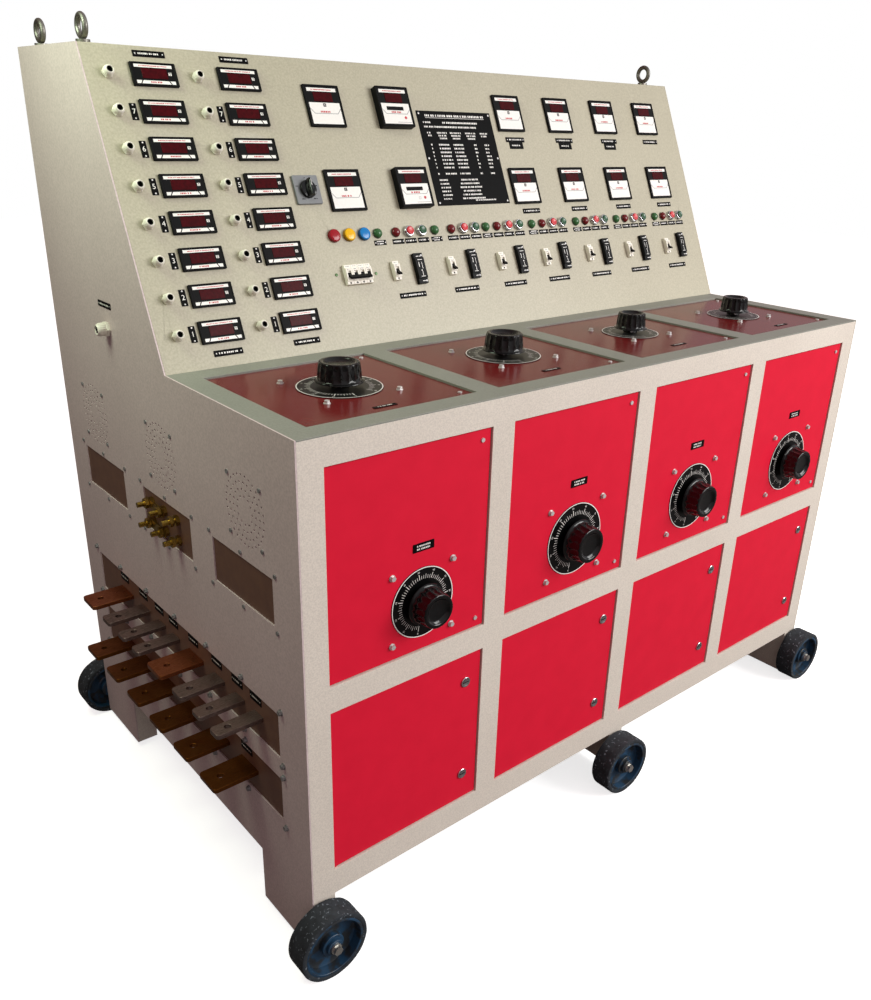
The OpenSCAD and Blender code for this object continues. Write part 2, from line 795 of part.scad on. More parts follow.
// label plates: place on the slope, then width and height
small_labels = concat(
    [for (c = [0, 1]) [col_x + c * col_pitch, 645, 68, 13]],
    [for (c = [0, 1]) [col_x + c * col_pitch + 5, 28.5, 66, 13]],
    [for (c = [0, 1], r = [1:rows - 1]) [col_x + c * col_pitch + tag_dx, row_top - r * row_pitch, 14, 34]],
    [for (i = [0:3]) [out_x + i * out_pitch + 6, large_top - 69, 68, 13]],
    [for (i = [0:2]) [out_x + i * out_pitch + 6, large_top - 84.5, 50, 18]],
    [for (i = [0:3]) [out_x + i * out_pitch + 6, large_low - 67, 64, 13]],
    [for (p = concat(lamp_places, stop_places, start_places)) [p[0] + 3, p[1] - 22, 34, 12]],
    [for (g = [0:groups - 1]) [group_at(g) + 62, 103, 80, 13]],
    [[924, 433, 246, 238]]
);
side_labels = concat(
    [[side_gland[0] + 6, side_gland[1] + 51, 70, 13]],
    [for (bar = upper_bars) [bar[0] + 8, desk_h - bars_drop + slot_h / 2 - 14, 46, 20]],
    [[lower_first + 9, desk_h - bars_drop - bars_row + slot_h / 2 - 14, 46, 20]]
);
front_label = [0, 136, 52, 18];
desk_label = [-5, -157, 52, 10];

module label_plates() color("#121212") {
    for (l = small_labels) on_slope(l[0], l[1]) box(l[2], l[3], 0, label_t);
    on_left(side_labels[0][0], side_labels[0][1]) box(side_labels[0][2], side_labels[0][3], 0, label_t);
    for (k = [1:len(side_labels) - 1]) on_left(side_labels[k][0], side_labels[k][1])
        box(side_labels[k][2], side_labels[k][3], -sheet_t, -sheet_t + label_t);
    for (i = [0:bays - 1]) {
        front_variac(i) translate([front_label[0], front_label[1] * front_dials[i][2], 0])
            box(front_label[2], front_label[3], 0, label_t);
        desk_variac(i) translate([desk_label[0], desk_label[1], 0]) box(desk_label[2], desk_label[3], 0, label_t);
    }
}

// ---- left side outlets ---------------------------------------------------------------------------

stud_pitch = [63, 48];
stud_shift = -12;
stud_r = 6;
stud_out = 34;
stud_at = [for (x = [-1:1], z = [-0.5, 0.5]) [x * stud_pitch[0] + stud_shift, z * stud_pitch[1]]];

module bar_slots(row) for (bar = row[0]) on_left(bar[0], row[1])
    box(bar[1] + 2 * bar_fit, bar_t + 2 * bar_fit, -sheet_t - board_t - cut, cut);

module terminal_boards() color("#6b4a3a") {
    for (y = small_board_y) on_left(y, desk_h - board_drop) difference() {
        box(2 * board_screw_x + 20, 2 * board_screw_z + 20, -sheet_t - board_t, -sheet_t);
        board_screws() rod(bolt_hole_r, -sheet_t - board_t - cut, 0);
        if (y == small_board_y[1]) for (p = stud_at)
            translate([p[0], p[1], 0]) rod(stud_r + 0.2, -sheet_t - board_t - cut, 0);
    }
    for (row = bar_rows) difference() {
        on_left(slot_y + slot_len / 2, row[1]) difference() {
            box(slot_len + 2 * board_lap, slot_h + 2 * board_lap, -sheet_t - board_t, -sheet_t);
            slot_bolts() rod(bolt_hole_r, -sheet_t - board_t - cut, 0);
        }
        bar_slots(row);
    }
}

// a bar's flat outline, its tip at the left and its root inside
module bar_shape(w, out) difference() {
    union() {
        translate([bar_r, -w / 2]) square([out + bar_in - bar_r, w]);
        translate([0, bar_r - w / 2]) square([bar_r + cut, w - 2 * bar_r]);
        for (y = [bar_r - w / 2, w / 2 - bar_r]) translate([bar_r, y]) circle(bar_r);
    }
    translate([bar_hole_in, 0]) circle(bar_hole_r);
    translate([out + bar_in - 15, 0]) circle(bar_hole_r);
}

module copper_bars() color("#b87333") for (row = bar_rows, bar = row[0])
    translate([-bar_out, bar[0], row[1] - bar_t / 2]) linear_extrude(bar_t) bar_shape(bar[1], bar_out);

module brass_studs() color("#b08d3c") on_left(small_board_y[1], desk_h - board_drop) {
    for (p = stud_at) translate([p[0], p[1], 0]) {
        rod(stud_r, -sheet_t - board_t - 30, stud_out);
        difference() {
            hexagon(2 * stud_r, -sheet_t, 5);
            rod(stud_r, -sheet_t - cut, 5 + cut);
        }
        difference() {
            hexagon(2 * stud_r, 10, 18);
            rod(stud_r, 10 - cut, 18 + cut);
        }
        difference() {
            hexagon(2 * stud_r, -sheet_t - board_t - 8, -sheet_t - board_t);
            rod(stud_r, -sheet_t - board_t - 8 - cut, -sheet_t - board_t + cut);
        }
    }
    for (z = [-0.5, 0.5]) translate([stud_shift - stud_pitch[0] / 2, z * stud_pitch[1], 0]) difference() {
        box(stud_pitch[0] + 26, 20, 6, 9);
        for (x = [-0.5, 0.5]) translate([x * stud_pitch[0], 0, 0]) rod(stud_r, 0, 10);
    }
}

fan_sq = 150;
fan_d = 38;
fan_bore_r = 71;

module cooling_fans() color("#222426") fan_places() {
    difference() {
        box(fan_sq, fan_sq, -sheet_t - fan_d, -sheet_t);
        rod(fan_bore_r, -sheet_t - fan_d - cut, 0);
        corners(fan_screw_sq, fan_screw_sq) rod(bolt_hole_r, -sheet_t - fan_d - cut, 0);
    }
    rod(28, -sheet_t - fan_d, -sheet_t - 6);
    for (a = [0:4]) rotate(a * 72) translate([26, -2, -sheet_t - fan_d + 4]) cube([36, 4, 22]);
    for (a = [0:3]) rotate(45 + a * 90) translate([26, -3, -sheet_t - fan_d]) cube([fan_bore_r - 24, 6, 3]);
}

// ---- wheels --------------------------------------------------------------------------------------

module axle() {
    rod(axle_r, -leg_t - 12, axle_out);
    hexagon(1.7 * axle_r, axle_out, axle_out + axle_head);
    hexagon(1.7 * axle_r, -leg_t - 10, -leg_t);
    rod(2 * axle_r, 0, wheel_gap - 0.3);
    rod(2 * axle_r, wheel_gap + wheel_w - 4 + 0.3, axle_out);
}

module wheel_axles() color("#a8abae") for (x = wheel_x) {
    on_face(x, axle_z) axle();
    on_back(x, axle_z) axle();
}

module wheel() {
    boss_r = 26;
    web_t = 8;
    rim_t = 6;
    r = wheel_d / 2;
    color("#26282b") translate([0, 0, wheel_gap]) rotate_extrude() polygon([
        [hub_out_r, 0], [r - 5, 0], [r, 5], [r, wheel_w - 5], [r - 5, wheel_w], [hub_out_r, wheel_w]
    ]);
    color("#1f3547") translate([0, 0, wheel_gap]) difference() {
        union() {
            difference() {
                rod(hub_out_r, 2, wheel_w - 2);
                rod(hub_out_r - rim_t, 0, wheel_w);
            }
            rod(hub_out_r - rim_t + cut, (wheel_w - web_t) / 2, (wheel_w + web_t) / 2);
            rod(boss_r, 0, wheel_w - 4);
        }
        rod(axle_r + run_fit, -cut, wheel_w + cut);
    }
}

// ---- doors ---------------------------------------------------------------------------------------

door_deep = 14;
lock_head_t = 3;
lock_gap = 0.3;
barrel_r = 9;
cam_t = 3;
cam_at = ledge_at + sheet_t + 0.5;
cam_len = lock_in - ledge_w + 8;

module door(i) color("#dc2743") {
    on_face(bay_x(i), lower_z) difference() {
        tray(bay_w, lower_h, door_deep);
        for (z = [lock_drop, lower_h - lock_drop])
            translate([bay_w - lock_in, z, 0]) rod(barrel_r + run_fit, -recess - door_deep, 0);
    }
    for (z = [-sheet_t, lower_h - panel_gap - flange_t])
        translate([bay_x(i) + panel_gap + hinge_in, recess + hinge_in, lower_z + z])
            rod(pin_r, 0, sheet_t + panel_gap + flange_t);
}

// the cam points down when the lock is open
module lock(i, z) color("#c9cccf") on_face(bay_x(i) + bay_w - lock_in, z) {
    rod(lock_r, -recess + lock_gap, -recess + lock_gap + lock_head_t);
    rod(barrel_r, -cam_at, -recess + lock_gap);
    translate([-7, -cam_len, -cam_at - cam_t]) cube([14, cam_len + 7, cam_t]);
}

lock_low = lower_z + lock_drop;
lock_high = lower_z + lower_h - lock_drop;

// ---- inside --------------------------------------------------------------------------------------

core_w = 260;
core_h = 250;
core_d = 110;
core_limb = 45;
foot_t = 6;
wind_t = 20;
win_w = (core_w - 3 * core_limb) / 2;
wind_w = core_limb + 2 * wind_t;
rail_run = rail_span + rail_w;
core_places = [430, 880, 1330];

module loading_transformers() for (x = core_places)
    translate([x, rail_y + rail_run / 2, base_z + sheet_t + rail_h]) {
        color("#5c5f62") for (side = [-core_w / 2, core_w / 2 - rail_w])
            translate([side, -rail_run / 2, 0]) cube([rail_w, rail_run, foot_t]);
        color("#5c5f62") difference() {
            translate([-core_w / 2, -core_d / 2, foot_t]) cube([core_w, core_d, core_h]);
            for (k = [-1, 1]) translate([k * (core_limb + win_w) / 2 - win_w / 2, -core_d, foot_t + core_limb])
                cube([win_w, 2 * core_d, core_h - 2 * core_limb]);
        }
        color("#b5733c") translate([0, 0, foot_t + core_limb]) difference() {
            translate([-wind_w / 2, -core_d / 2 - wind_t, 0])
                cube([wind_w, core_d + 2 * wind_t, core_h - 2 * core_limb]);
            translate([-core_limb / 2, -core_d / 2, -cut])
                cube([core_limb, core_d, core_h]);
        }
    }

// bolts through the panels, the bases and the boards
module set_bolt(deep) {
    rod(bolt_r, -deep - 8, 0);
    hexagon(5.5, 1.5, 1.5 + head_h);
    rod(7, 0, 1.5);
    hexagon(5.5, -deep - 5, -deep);
}

module small_screw(deep) {
    rod(screw_r - 0.3, -deep, 0);
    rod(screw_head_r, 0, screw_head_h);
}

module fasteners() color("#b9bcc0") {
    for (i = [0:bays - 1]) {
        front_variac(i) corners(bolt_sq * front_dials[i][2], bolt_sq * front_dials[i][2]) set_bolt(panel_t + base_t);
        desk_variac(i) corners(bolt_sq * desk_dials[i][2], bolt_sq * desk_dials[i][2]) set_bolt(panel_t + base_t);
        for (z = [screw_in + panel_gap, upper_h - screw_in - panel_gap])
            on_face(bay_x(i) + bay_w - screw_in - panel_gap, upper_z + z)
                translate([0, 0, -recess]) small_screw(ledge_at - recess + 8);
        for (y = [screw_in + panel_gap, desk_open - screw_in - panel_gap])
            on_desk(bay_x(i) + bay_w - screw_in - panel_gap, desk_margin + y)
                translate([0, 0, -recess]) small_screw(ledge_at - recess + 8);
    }
    fan_places() corners(fan_screw_sq, fan_screw_sq) small_screw(20);
    small_board_places() board_screws() small_screw(sheet_t + board_t + 4);
    slot_places() slot_bolts() set_bolt(sheet_t + board_t);
}

bench() front_frame();
bench() desk_frame();
bench() left_side();
bench() right_side();
bench() instrument_hood();
bench() back_panel();
bench() floor_pan();
bench() legs();
bench() lifting_eyes();
bench() upper_panels();
bench() desk_plates();
bench() dial_plates();
bench() variac_coils();
bench() variac_bases();
bench() small_meters();
bench() large_meters();
bench() cable_glands();
bench() indicator_lamps();
bench() control_bezels();
bench() breaker_bodies();
bench() timer_modules();
bench() label_plates();
bench() terminal_boards();
bench() copper_bars();
bench() brass_studs();
bench() cooling_fans();
bench() wheel_axles();
bench() fasteners();
bench() loading_transformers();
for (i = [0:bays - 1]) {
    bench() front_variac(i) rotor(front_dials[i][2]);
    bench() desk_variac(i) rotor(desk_dials[i][2]);
    bench() door(i);
    bench() lock(i, lock_high);
    bench() lock(i, lock_low);
}
for (k = [0:2]) {
    bench() on_face(wheel_x[k], axle_z) wheel();
    bench() on_back(wheel_x[k], axle_z) wheel();
}
bench() selector_knob();
bench() main_breaker_toggle();
bench() breaker_toggles();
bench() stop_buttons();
bench() start_buttons();
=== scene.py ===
import random
from math import atan2, cos, dist, pi, radians, sin
import bmesh
import bpy
from mathutils import Matrix, Vector
from mathutils.bvhtree import BVHTree


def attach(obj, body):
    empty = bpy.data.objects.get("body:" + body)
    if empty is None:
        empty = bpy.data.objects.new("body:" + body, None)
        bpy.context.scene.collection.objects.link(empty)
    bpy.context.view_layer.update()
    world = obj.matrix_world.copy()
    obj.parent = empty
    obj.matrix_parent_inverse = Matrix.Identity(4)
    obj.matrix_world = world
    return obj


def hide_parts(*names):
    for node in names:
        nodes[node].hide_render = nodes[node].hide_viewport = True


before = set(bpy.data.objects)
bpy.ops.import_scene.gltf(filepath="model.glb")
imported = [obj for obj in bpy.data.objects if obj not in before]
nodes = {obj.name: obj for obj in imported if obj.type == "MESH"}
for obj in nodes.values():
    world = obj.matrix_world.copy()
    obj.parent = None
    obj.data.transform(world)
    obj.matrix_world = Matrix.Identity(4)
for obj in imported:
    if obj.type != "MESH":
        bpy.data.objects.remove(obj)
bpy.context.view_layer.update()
print("frame loaded:", len(nodes), "nodes")

# the bench in mm: x from its left side, y back from its face, z up from the floor
bench = {
    "midX": 898.5, "midY": 556.0, "depth": 1112, "deskDepth": 490, "deskHeight": 1153,
    "slopeRise": 602, "slopeRun": 272, "sheet": 3, "recess": 4,
    "bayStart": 55, "bayPitch": 444.5, "bayWidth": 386.5,
}
slopeAngle = atan2(bench["slopeRise"], bench["slopeRun"])
# four bays across the front, seven groups of lamps and switches, eight lines of small meters in two columns
bays, groups, meterLines, meterColumns = range(4), range(7), range(8), range(2)


def spot(x, y, z):
    return Vector(((x - bench["midX"]) / 1000, (y - bench["midY"]) / 1000, z / 1000))


# a place is a matrix from mm on a surface (right, up, out of it) to metres in the frame
def placeAt(origin, right, up):
    right, up = Vector(right), Vector(up)
    place = Matrix.Identity(4)
    for column, axis in enumerate((right, up, right.cross(up))):
        for line in range(3):
            place[line][column] = axis[line] / 1000
    place.translation = origin
    return place


def onFace(x, z, back=0):
    return placeAt(spot(x, back, z), (1, 0, 0), (0, 0, 1))


def onBack(x, z):
    return placeAt(spot(x, bench["depth"], z), (-1, 0, 0), (0, 0, 1))


def onDesk(x, y, down=0):
    return placeAt(spot(x, y, bench["deskHeight"] - down), (1, 0, 0), (0, 1, 0))


def onLeft(y, z, inside=0):
    return placeAt(spot(inside, y, z), (0, -1, 0), (0, 0, 1))


def onSlope(x, s):
    up = (0, cos(slopeAngle), sin(slopeAngle))
    start = spot(x, bench["deskDepth"] + s * up[1], bench["deskHeight"] + s * up[2])
    return placeAt(start, (1, 0, 0), up)


def addObject(name, data):
    made = bpy.data.objects.new(name, data)
    bpy.context.scene.collection.objects.link(made)
    return made


# camera: solved from the panel corners, the meters and the wheels in the photograph
cameraSet = {
    "azimuth": -41.19, "elevation": 23.12, "roll": 1.95, "place": (-722.4, -1228.4, 1638.8),
    "lens": 32.97, "sensor": 36.0, "shiftX": -0.02065, "shiftY": 0.01066, "width": 871, "height": 1000,
}


def aimCamera():
    turn, tilt, roll = (radians(cameraSet[key]) for key in ("azimuth", "elevation", "roll"))
    back = Vector((sin(turn) * cos(tilt), -cos(turn) * cos(tilt), sin(tilt)))
    right = (-back).cross(Vector((0, 0, 1))).normalized()
    up = right.cross(-back)
    rolledRight = right * cos(roll) + up * sin(roll)
    rolledUp = -right * sin(roll) + up * cos(roll)
    data = bpy.data.cameras.new("benchCamera")
    data.sensor_fit = "AUTO"
    data.sensor_width, data.lens = cameraSet["sensor"], cameraSet["lens"]
    data.shift_x, data.shift_y = cameraSet["shiftX"], cameraSet["shiftY"]
    data.clip_end = 40
    made = addObject("benchCamera", data)
    aimed = Matrix((rolledRight, rolledUp, back)).transposed().to_4x4()
    aimed.translation = spot(*cameraSet["place"])
    made.matrix_world = aimed
    bpy.context.scene.camera = made
    return made


camera = aimCamera()
print("camera set")

# the lens's length and axis in image points
longSide = max(cameraSet["width"], cameraSet["height"])
lensReach = longSide * cameraSet["lens"] / cameraSet["sensor"]
axisX = cameraSet["width"] / 2 - cameraSet["shiftX"] * longSide
axisY = cameraSet["height"] / 2 + cameraSet["shiftY"] * longSide


def rayThrough(x, y):
    aim = camera.matrix_world.to_3x3() @ Vector((x - axisX, axisY - y, -lensReach))
    return camera.matrix_world.translation, aim.normalized()


def imageOf(point):
    seen = camera.matrix_world.inverted() @ Vector(point)
    scale = lensReach / -seen.z
    return axisX + seen.x * scale, axisY - seen.y * scale


# where the ray through an image point meets the pieces that carry a fitting
def placeOnPieces(x, y, carriers):
    start, aim = rayThrough(x, y)
    graph = bpy.context.evaluated_depsgraph_get()
    best = None
    for carrier in carriers:
        tree = BVHTree.FromObject(carrier, graph)
        toLocal = carrier.matrix_world.inverted()
        found = tree.ray_cast(toLocal @ start, toLocal.to_3x3() @ aim)
        if found[0] is not None and (best is None or found[3] < best[2]):
            best = (carrier.matrix_world @ found[0], carrier.matrix_world.to_3x3() @ found[1], found[3])
    if best:
        return best[0], best[1]
    nearest = min(
        ((carrier.matrix_world @ vertex.co) for carrier in carriers for vertex in carrier.data.vertices),
        key=lambda place: (place - start).cross(aim).length,
    )
    return nearest, -aim


# materials
def linear(hexColour):
    values = [int(hexColour[i:i + 2], 16) / 255 for i in (1, 3, 5)]
    return (*(v / 12.92 if v <= 0.04045 else ((v + 0.055) / 1.055) ** 2.4 for v in values), 1.0)


def addNode(tree, kind, sockets=None, **settings):
    node = tree.nodes.new("ShaderNode" + kind)
    for key, value in settings.items():
        setattr(node, key, value)
    for key, value in (sockets or {}).items():
        if isinstance(value, bpy.types.NodeSocket):
            tree.links.new(value, node.inputs[key])
        else:
            node.inputs[key].default_value = value
    return node


def startMaterial(name, colour, roughness, metallic=0.0, ior=1.5, coat=0.0, specular=0.5):
    made = bpy.data.materials.new(name)
    made.use_nodes = True
    made.diffuse_color = linear(colour)
    shader = made.node_tree.nodes["Principled BSDF"]
    values = {"Base Color": linear(colour), "Roughness": roughness, "Metallic": metallic, "IOR": ior,
              "Coat Weight": coat, "Specular IOR Level": specular}
    for key, value in values.items():
        shader.inputs[key].default_value = value
    return made, made.node_tree, shader


def perMm(size):  # texture scale for a pattern whose repeat is this many mm
    return 1000 / size


def feed(shader, key, output):
    shader.id_data.links.new(output, shader.inputs[key])


def noiseAt(tree, where, size, detail):
    return addNode(tree, "TexNoise", {"Vector": where, "Scale": perMm(size), "Detail": detail}).outputs[0]


def ranged(tree, value, low, high, toLow=0.0, toHigh=1.0):
    sockets = {"Value": value, "From Min": low, "From Max": high, "To Min": toLow, "To Max": toHigh}
    return addNode(tree, "MapRange", sockets).outputs[0]


def mixed(tree, share, first, second, **settings):
    return addNode(tree, "Mix", {0: share, 6: first, 7: second}, data_type="RGBA", **settings).outputs[2]


def bumped(tree, shader, height, strength, depth):
    bump = addNode(tree, "Bump", {"Height": height, "Strength": strength, "Distance": depth / 1000})
    feed(shader, "Normal", bump.outputs[0])


# two colours mixed by noise: the mottling of a real surface
def mottle(tree, shader, first, second, size, contrast, detail=3):
    where = addNode(tree, "TexCoord").outputs["Object"]
    noise = noiseAt(tree, where, size, detail)
    share = ranged(tree, noise, 0.5 - 0.5 / contrast, 0.5 + 0.5 / contrast)
    colour = mixed(tree, share, linear(first), linear(second))
    feed(shader, "Base Color", colour)
    return where, noise, colour


def grain(tree, shader, where, size, strength, depth, detail=2):
    fine = noiseAt(tree, where, size, detail)
    bumped(tree, shader, fine, strength, depth)
    return fine


# what most coats and mouldings share: a mottled colour under a fine grain
def grained(name, colours, roughness, mottling, texture, **settings):
    made, tree, shader = startMaterial(name, colours[0], roughness, **settings)
    where, _, _ = mottle(tree, shader, *colours[-2:], *mottling)
    grain(tree, shader, where, *texture)
    return made


# sprayed and baked polyester powder: a fine orange peel, so a soft and slightly uneven sheen
def powderCoat(name, colour, shade, peel=3.2, roughness=0.48):
    # the real peel repeats at about 1 mm; drawn at 3 mm so that it shows
    made, tree, shader = startMaterial(name, colour, roughness)
    where, _, base = mottle(tree, shader, colour, shade, 260, 1.3)
    speck = ranged(tree, grain(tree, shader, where, peel, 0.35, 0.35), 0.35, 0.65, 0.90, 1.06)
    toned = mixed(tree, 1.0, base, speck, blend_type="MULTIPLY")
    feed(shader, "Base Color", toned)
    return made


# stoved enamel on sheet steel: an even colour under a clear gloss
def stovedEnamel(name, colour, shade, roughness, coat, specular=0.5):
    texture = (55, 1.4, 5), (5, 0.18, 0.25)
    made = grained(name, (colour, shade), roughness, *texture, coat=coat, specular=specular)
    made.node_tree.nodes["Principled BSDF"].inputs["Coat Roughness"].default_value = 0.12
    return made


# pressed phenolic: near black, with the polish of the mould and a few dull rubs from hands
def mouldedPhenolic(name, colour, shade, roughness):
    made, tree, shader = startMaterial(name, colour, roughness, ior=1.6, specular=0.26)
    _, noise, _ = mottle(tree, shader, colour, shade, 14, 1.5)
    rubs = ranged(tree, noise, 0.4, 0.7, roughness * 0.8, roughness + 0.16)
    feed(shader, "Roughness", rubs)
    return made


# injection-moulded ABS, nylon or urea: a faint spark-eroded texture
def mouldedPlastic(name, colour, shade, roughness, specular=0.5):
    return grained(name, (colour, shade), roughness, (9, 1.2), (0.9, 0.2, 0.08), ior=1.53, specular=specular)


# bright nickel, zinc and chrome over steel: a mirror with fine polishing marks
def chromePlate(name, colour, roughness, metallic):
    made, tree, shader = startMaterial(name, colour, roughness, metallic)
    _, noise, _ = mottle(tree, shader, colour, "#b9bcc1", 6, 1.2)
    worn = ranged(tree, noise, 0, 1, roughness * 0.6, roughness * 1.8)
    feed(shader, "Roughness", worn)
    return made


# turned or rolled metal with its lines along one axis
def drawnMetal(name, colour, shade, roughness, stretch, size=2.5):
    made, tree, shader = startMaterial(name, colour, roughness, 1.0)
    where = addNode(tree, "TexCoord").outputs["Object"]
    lines = noiseAt(tree, addNode(tree, "Mapping", {"Vector": where, "Scale": stretch}).outputs[0], size, 4)
    both = addNode(tree, "Math", {0: lines, 1: noiseAt(tree, where, 28, 4)}, operation="ADD").outputs[0]
    share = ranged(tree, both, 0.75, 1.25)
    feed(shader, "Base Color", mixed(tree, share, linear(colour), linear(shade)))
    dull = ranged(tree, share, 0, 1, roughness * 0.75, roughness * 1.35)
    feed(shader, "Roughness", dull)
    bumped(tree, shader, lines, 0.15, 0.1)
    return made


# paper and phenolic resin pressed in sheets: mottled brown with a dull skin
def paperLaminate(name):
    return grained(name, ("#6f4f45", "#70503f", "#62443a"), 0.5, (22, 1.5, 6), (2.2, 0.25, 0.12))


# two-colour engraving stock: a satin black skin
def engravingStock(name):
    return grained(name, ("#050505", "#0a0a0b"), 0.5, (7, 1.3), (1.4, 0.12, 0.05), specular=0.06)


# screen-printed polyester film, for the meters' white fields and every small mark
def printedFilm(name, colour, shade):
    return grained(name, (colour, shade), 0.32, (5, 1.2), (1.2, 0.08, 0.03))


# dark red acrylic in front of digits that are off: deep, and a little uneven
def displayWindow(name):
    colours = "#3a0309", "#2e0307", "#4c050d"
    return grained(name, colours, 0.25, (7, 1.5), (9, 0.06, 0.05), ior=1.49, specular=0.08)


# moulded polycarbonate lens over a lamp that is off: deep colour, lit a little at the ribs
def lampLens(name, colour, shade):
    return grained(name, (colour, shade), 0.16, (3, 1.3), (1.5, 0.2, 0.12), ior=1.58, specular=0.28)


# a mottled surface with a second colour in patches
def patched(name, colours, roughness, mottling, patch, patchDetail, low, high, texture):
    made, tree, shader = startMaterial(name, colours[0], roughness)
    where, _, base = mottle(tree, shader, *colours[1:3], *mottling)
    share = ranged(tree, noiseAt(tree, where, patch, patchDetail), low, high)
    feed(shader, "Base Color", mixed(tree, share, base, linear(colours[3])))
    grain(tree, shader, where, *texture)
    return made


# worn black tyre rubber with dust and pale scuffs in its tread
def tyreRubber(name):
    colours = "#222326", "#15191e", "#2c333a", "#77808a"
    return patched(name, colours, 0.82, (16, 1.8, 6), 7, 6, 0.60, 0.70, (4, 0.6, 0.5, 5))


# cast iron hub in blue paint that has worn to dark metal in patches
def paintedHub(name):
    colours = "#1a3a55", "#18374f", "#1f425f", "#22262a"
    return patched(name, colours, 0.45, (20, 1.5, 5), 24, 8, 0.46, 0.58, (3, 0.4, 0.3, 4))


# lacquered round wire side by side: fine ridges across the coil's height
def woundWire(name):
    made, tree, shader = startMaterial(name, "#9a5a32", 0.35, 0.8)
    where = addNode(tree, "TexCoord").outputs["Object"]
    # the wire is 2 mm, so the ridges repeat at 2 mm
    sockets = {"Vector": where, "Scale": perMm(2) / 20, "Distortion": 0.4}
    ridges = addNode(tree, "TexWave", sockets, bands_direction="DIAGONAL").outputs[1]
    colour = mixed(tree, ridges, linear("#7c4423"), linear("#a9683c"))
    feed(shader, "Base Color", colour)
    bumped(tree, shader, ridges, 0.5, 0.5)
    return made


creamCoat = powderCoat("creamPowderCoat", "#dfd6ca", "#d6ccc0")
# the hood's cream is darker than the front's, partly its own tone and partly painted shade on the sloping
# hood
hoodCoat = powderCoat("hoodPowderCoat", "#b4ae98", "#aaa48e", 4.2, 0.42)
deskCoat = powderCoat("deskPowderCoat", "#8a8b82", "#7f8177")
# the left side's cream with a pink tint: painted reflection of warm light onto this shaded side
sideCoat = powderCoat("sidePowderCoatPaintedReflection", "#d4c2c2", "#c8b6b6", 4.5)
backCoat = powderCoat("backPowderCoat", "#c4bda9", "#bab29e", 4.5)
innerCoat = powderCoat("innerPowderCoat", "#a39c8c", "#968f80", 4.5)
frontRed = stovedEnamel("crimsonEnamel", "#e01b38", "#d51733", 0.42, 0.0, 0.18)
# the front's crimson made darker for the desk plates: painted shade for their upward faces, which get less
# light
deskRedPaintedShade = stovedEnamel("crimsonEnamelPaintedShade", "#6c1d1d", "#621a1a", 0.2, 0.02, 0.16)
scaleBlack = stovedEnamel("blackEnamel", "#060606", "#0b0b0c", 0.3, 0.03, 0.15)
scaleWhite = stovedEnamel("whiteEnamel", "#f8f3ee", "#eeeae4", 0.4, 0.0)
phenolic = mouldedPhenolic("pressedPhenolic", "#040404", "#0c0c0e", 0.11)
toggleBlack = mouldedPlastic("blackNylon", "#080808", "#0e0e0f", 0.4, 0.12)
caseBlack = mouldedPlastic("blackAbs", "#080809", "#0e0e0f", 0.5, 0.08)
moduleBlack = mouldedPlastic("blackModule", "#070809", "#0d0e10", 0.45, 0.1)
urea = mouldedPlastic("creamUrea", "#efeadf", "#e6e0d2", 0.4)
nylon = mouldedPlastic("paleNylon", "#e9e4d9", "#ddd7c9", 0.45)
greyRim = mouldedPlastic("greyRim", "#3c3f3a", "#33362f", 0.35)
selectorGrey = mouldedPlastic("greyAbs", "#77797c", "#6c6e71", 0.4)
capRed = mouldedPlastic("redCap", "#cf3038", "#c22a33", 0.3)
capGreen = mouldedPlastic("greenCap", "#0e4f2a", "#0b4323", 0.3)
chrome = chromePlate("brightChrome", "#d8dadd", 0.12, 1.0)
zinc = chromePlate("brightZinc", "#ece6e0", 0.38, 0.55)
# a darker copy of the bright zinc for the screws on the shaded left side: painted shade
zincPaintedShade = chromePlate("zincPaintedShade", "#5d544c", 0.5, 0.6)
copper = drawnMetal("rolledCopper", "#b2704a", "#8c4f2e", 0.34, (0.25, 1, 1))
tinned = drawnMetal("tinnedCopper", "#9a8780", "#6f5f5a", 0.42, (0.25, 1, 1))
copperDark = drawnMetal("darkCopper", "#8a5524", "#6f4420", 0.38, (0.25, 1, 1))
brass = drawnMetal("turnedBrass", "#b99a4c", "#8d7433", 0.3, (3, 1, 1))
steel = drawnMetal("turnedSteel", "#d6d4ce", "#b4b2ad", 0.4, (1, 3, 1))
forged = drawnMetal("forgedSteel", "#8f8c86", "#6c6963", 0.45, (1, 1, 1), 3)
verdigris = drawnMetal("greenedBrass", "#7f9a72", "#56714d", 0.5, (1, 1, 1))
castAlloy = drawnMetal("castAluminium", "#8d9092", "#75787a", 0.5, (1, 1, 1), 2)
laminate = paperLaminate("paperLaminate")
engraved = engravingStock("blackEngravingStock")
whiteFilm = printedFilm("whiteFilm", "#f1efeb", "#e6e3dd")
redFilm = printedFilm("redInk", "#c8323a", "#b92a33")
greyFilm = printedFilm("greyInk", "#8b8d8f", "#7d7f81")
windowRed = displayWindow("redAcrylicWindow")
lensRed = lampLens("redLens", "#5b1216", "#701a1c")
lensGreen = lampLens("greenLens", "#39683b", "#2c5530")
# each phase lamp's rim gets a darker copy of its lens colour: painted shade on the lamps' sides
phaseLenses = [
    lampLens("redPhaseLens", "#a00418", "#8c0314"), lampLens("yellowPhaseLens", "#efb800", "#e0aa00"),
    lampLens("bluePhaseLens", "#0a7cc4", "#086eb0"), lampLens("redPhaseRimPaintedShade", "#7c0a19", "#6b0815"),
    lampLens("yellowPhaseRimPaintedShade", "#a87d06", "#946d05"), lampLens("bluePhaseRimPaintedShade", "#0b4f80", "#09436d"),
]
rubber = tyreRubber("wornRubber")
hubPaint = paintedHub("wornBluePaint")
wire = woundWire("enamelledWire")
print("materials made")


# mesh helpers: at holds the mesh being made and the place that its shapes, in mm, go on
def polar(radius, turn, x=0, y=0):
    return x + radius * cos(turn), y + radius * sin(turn)


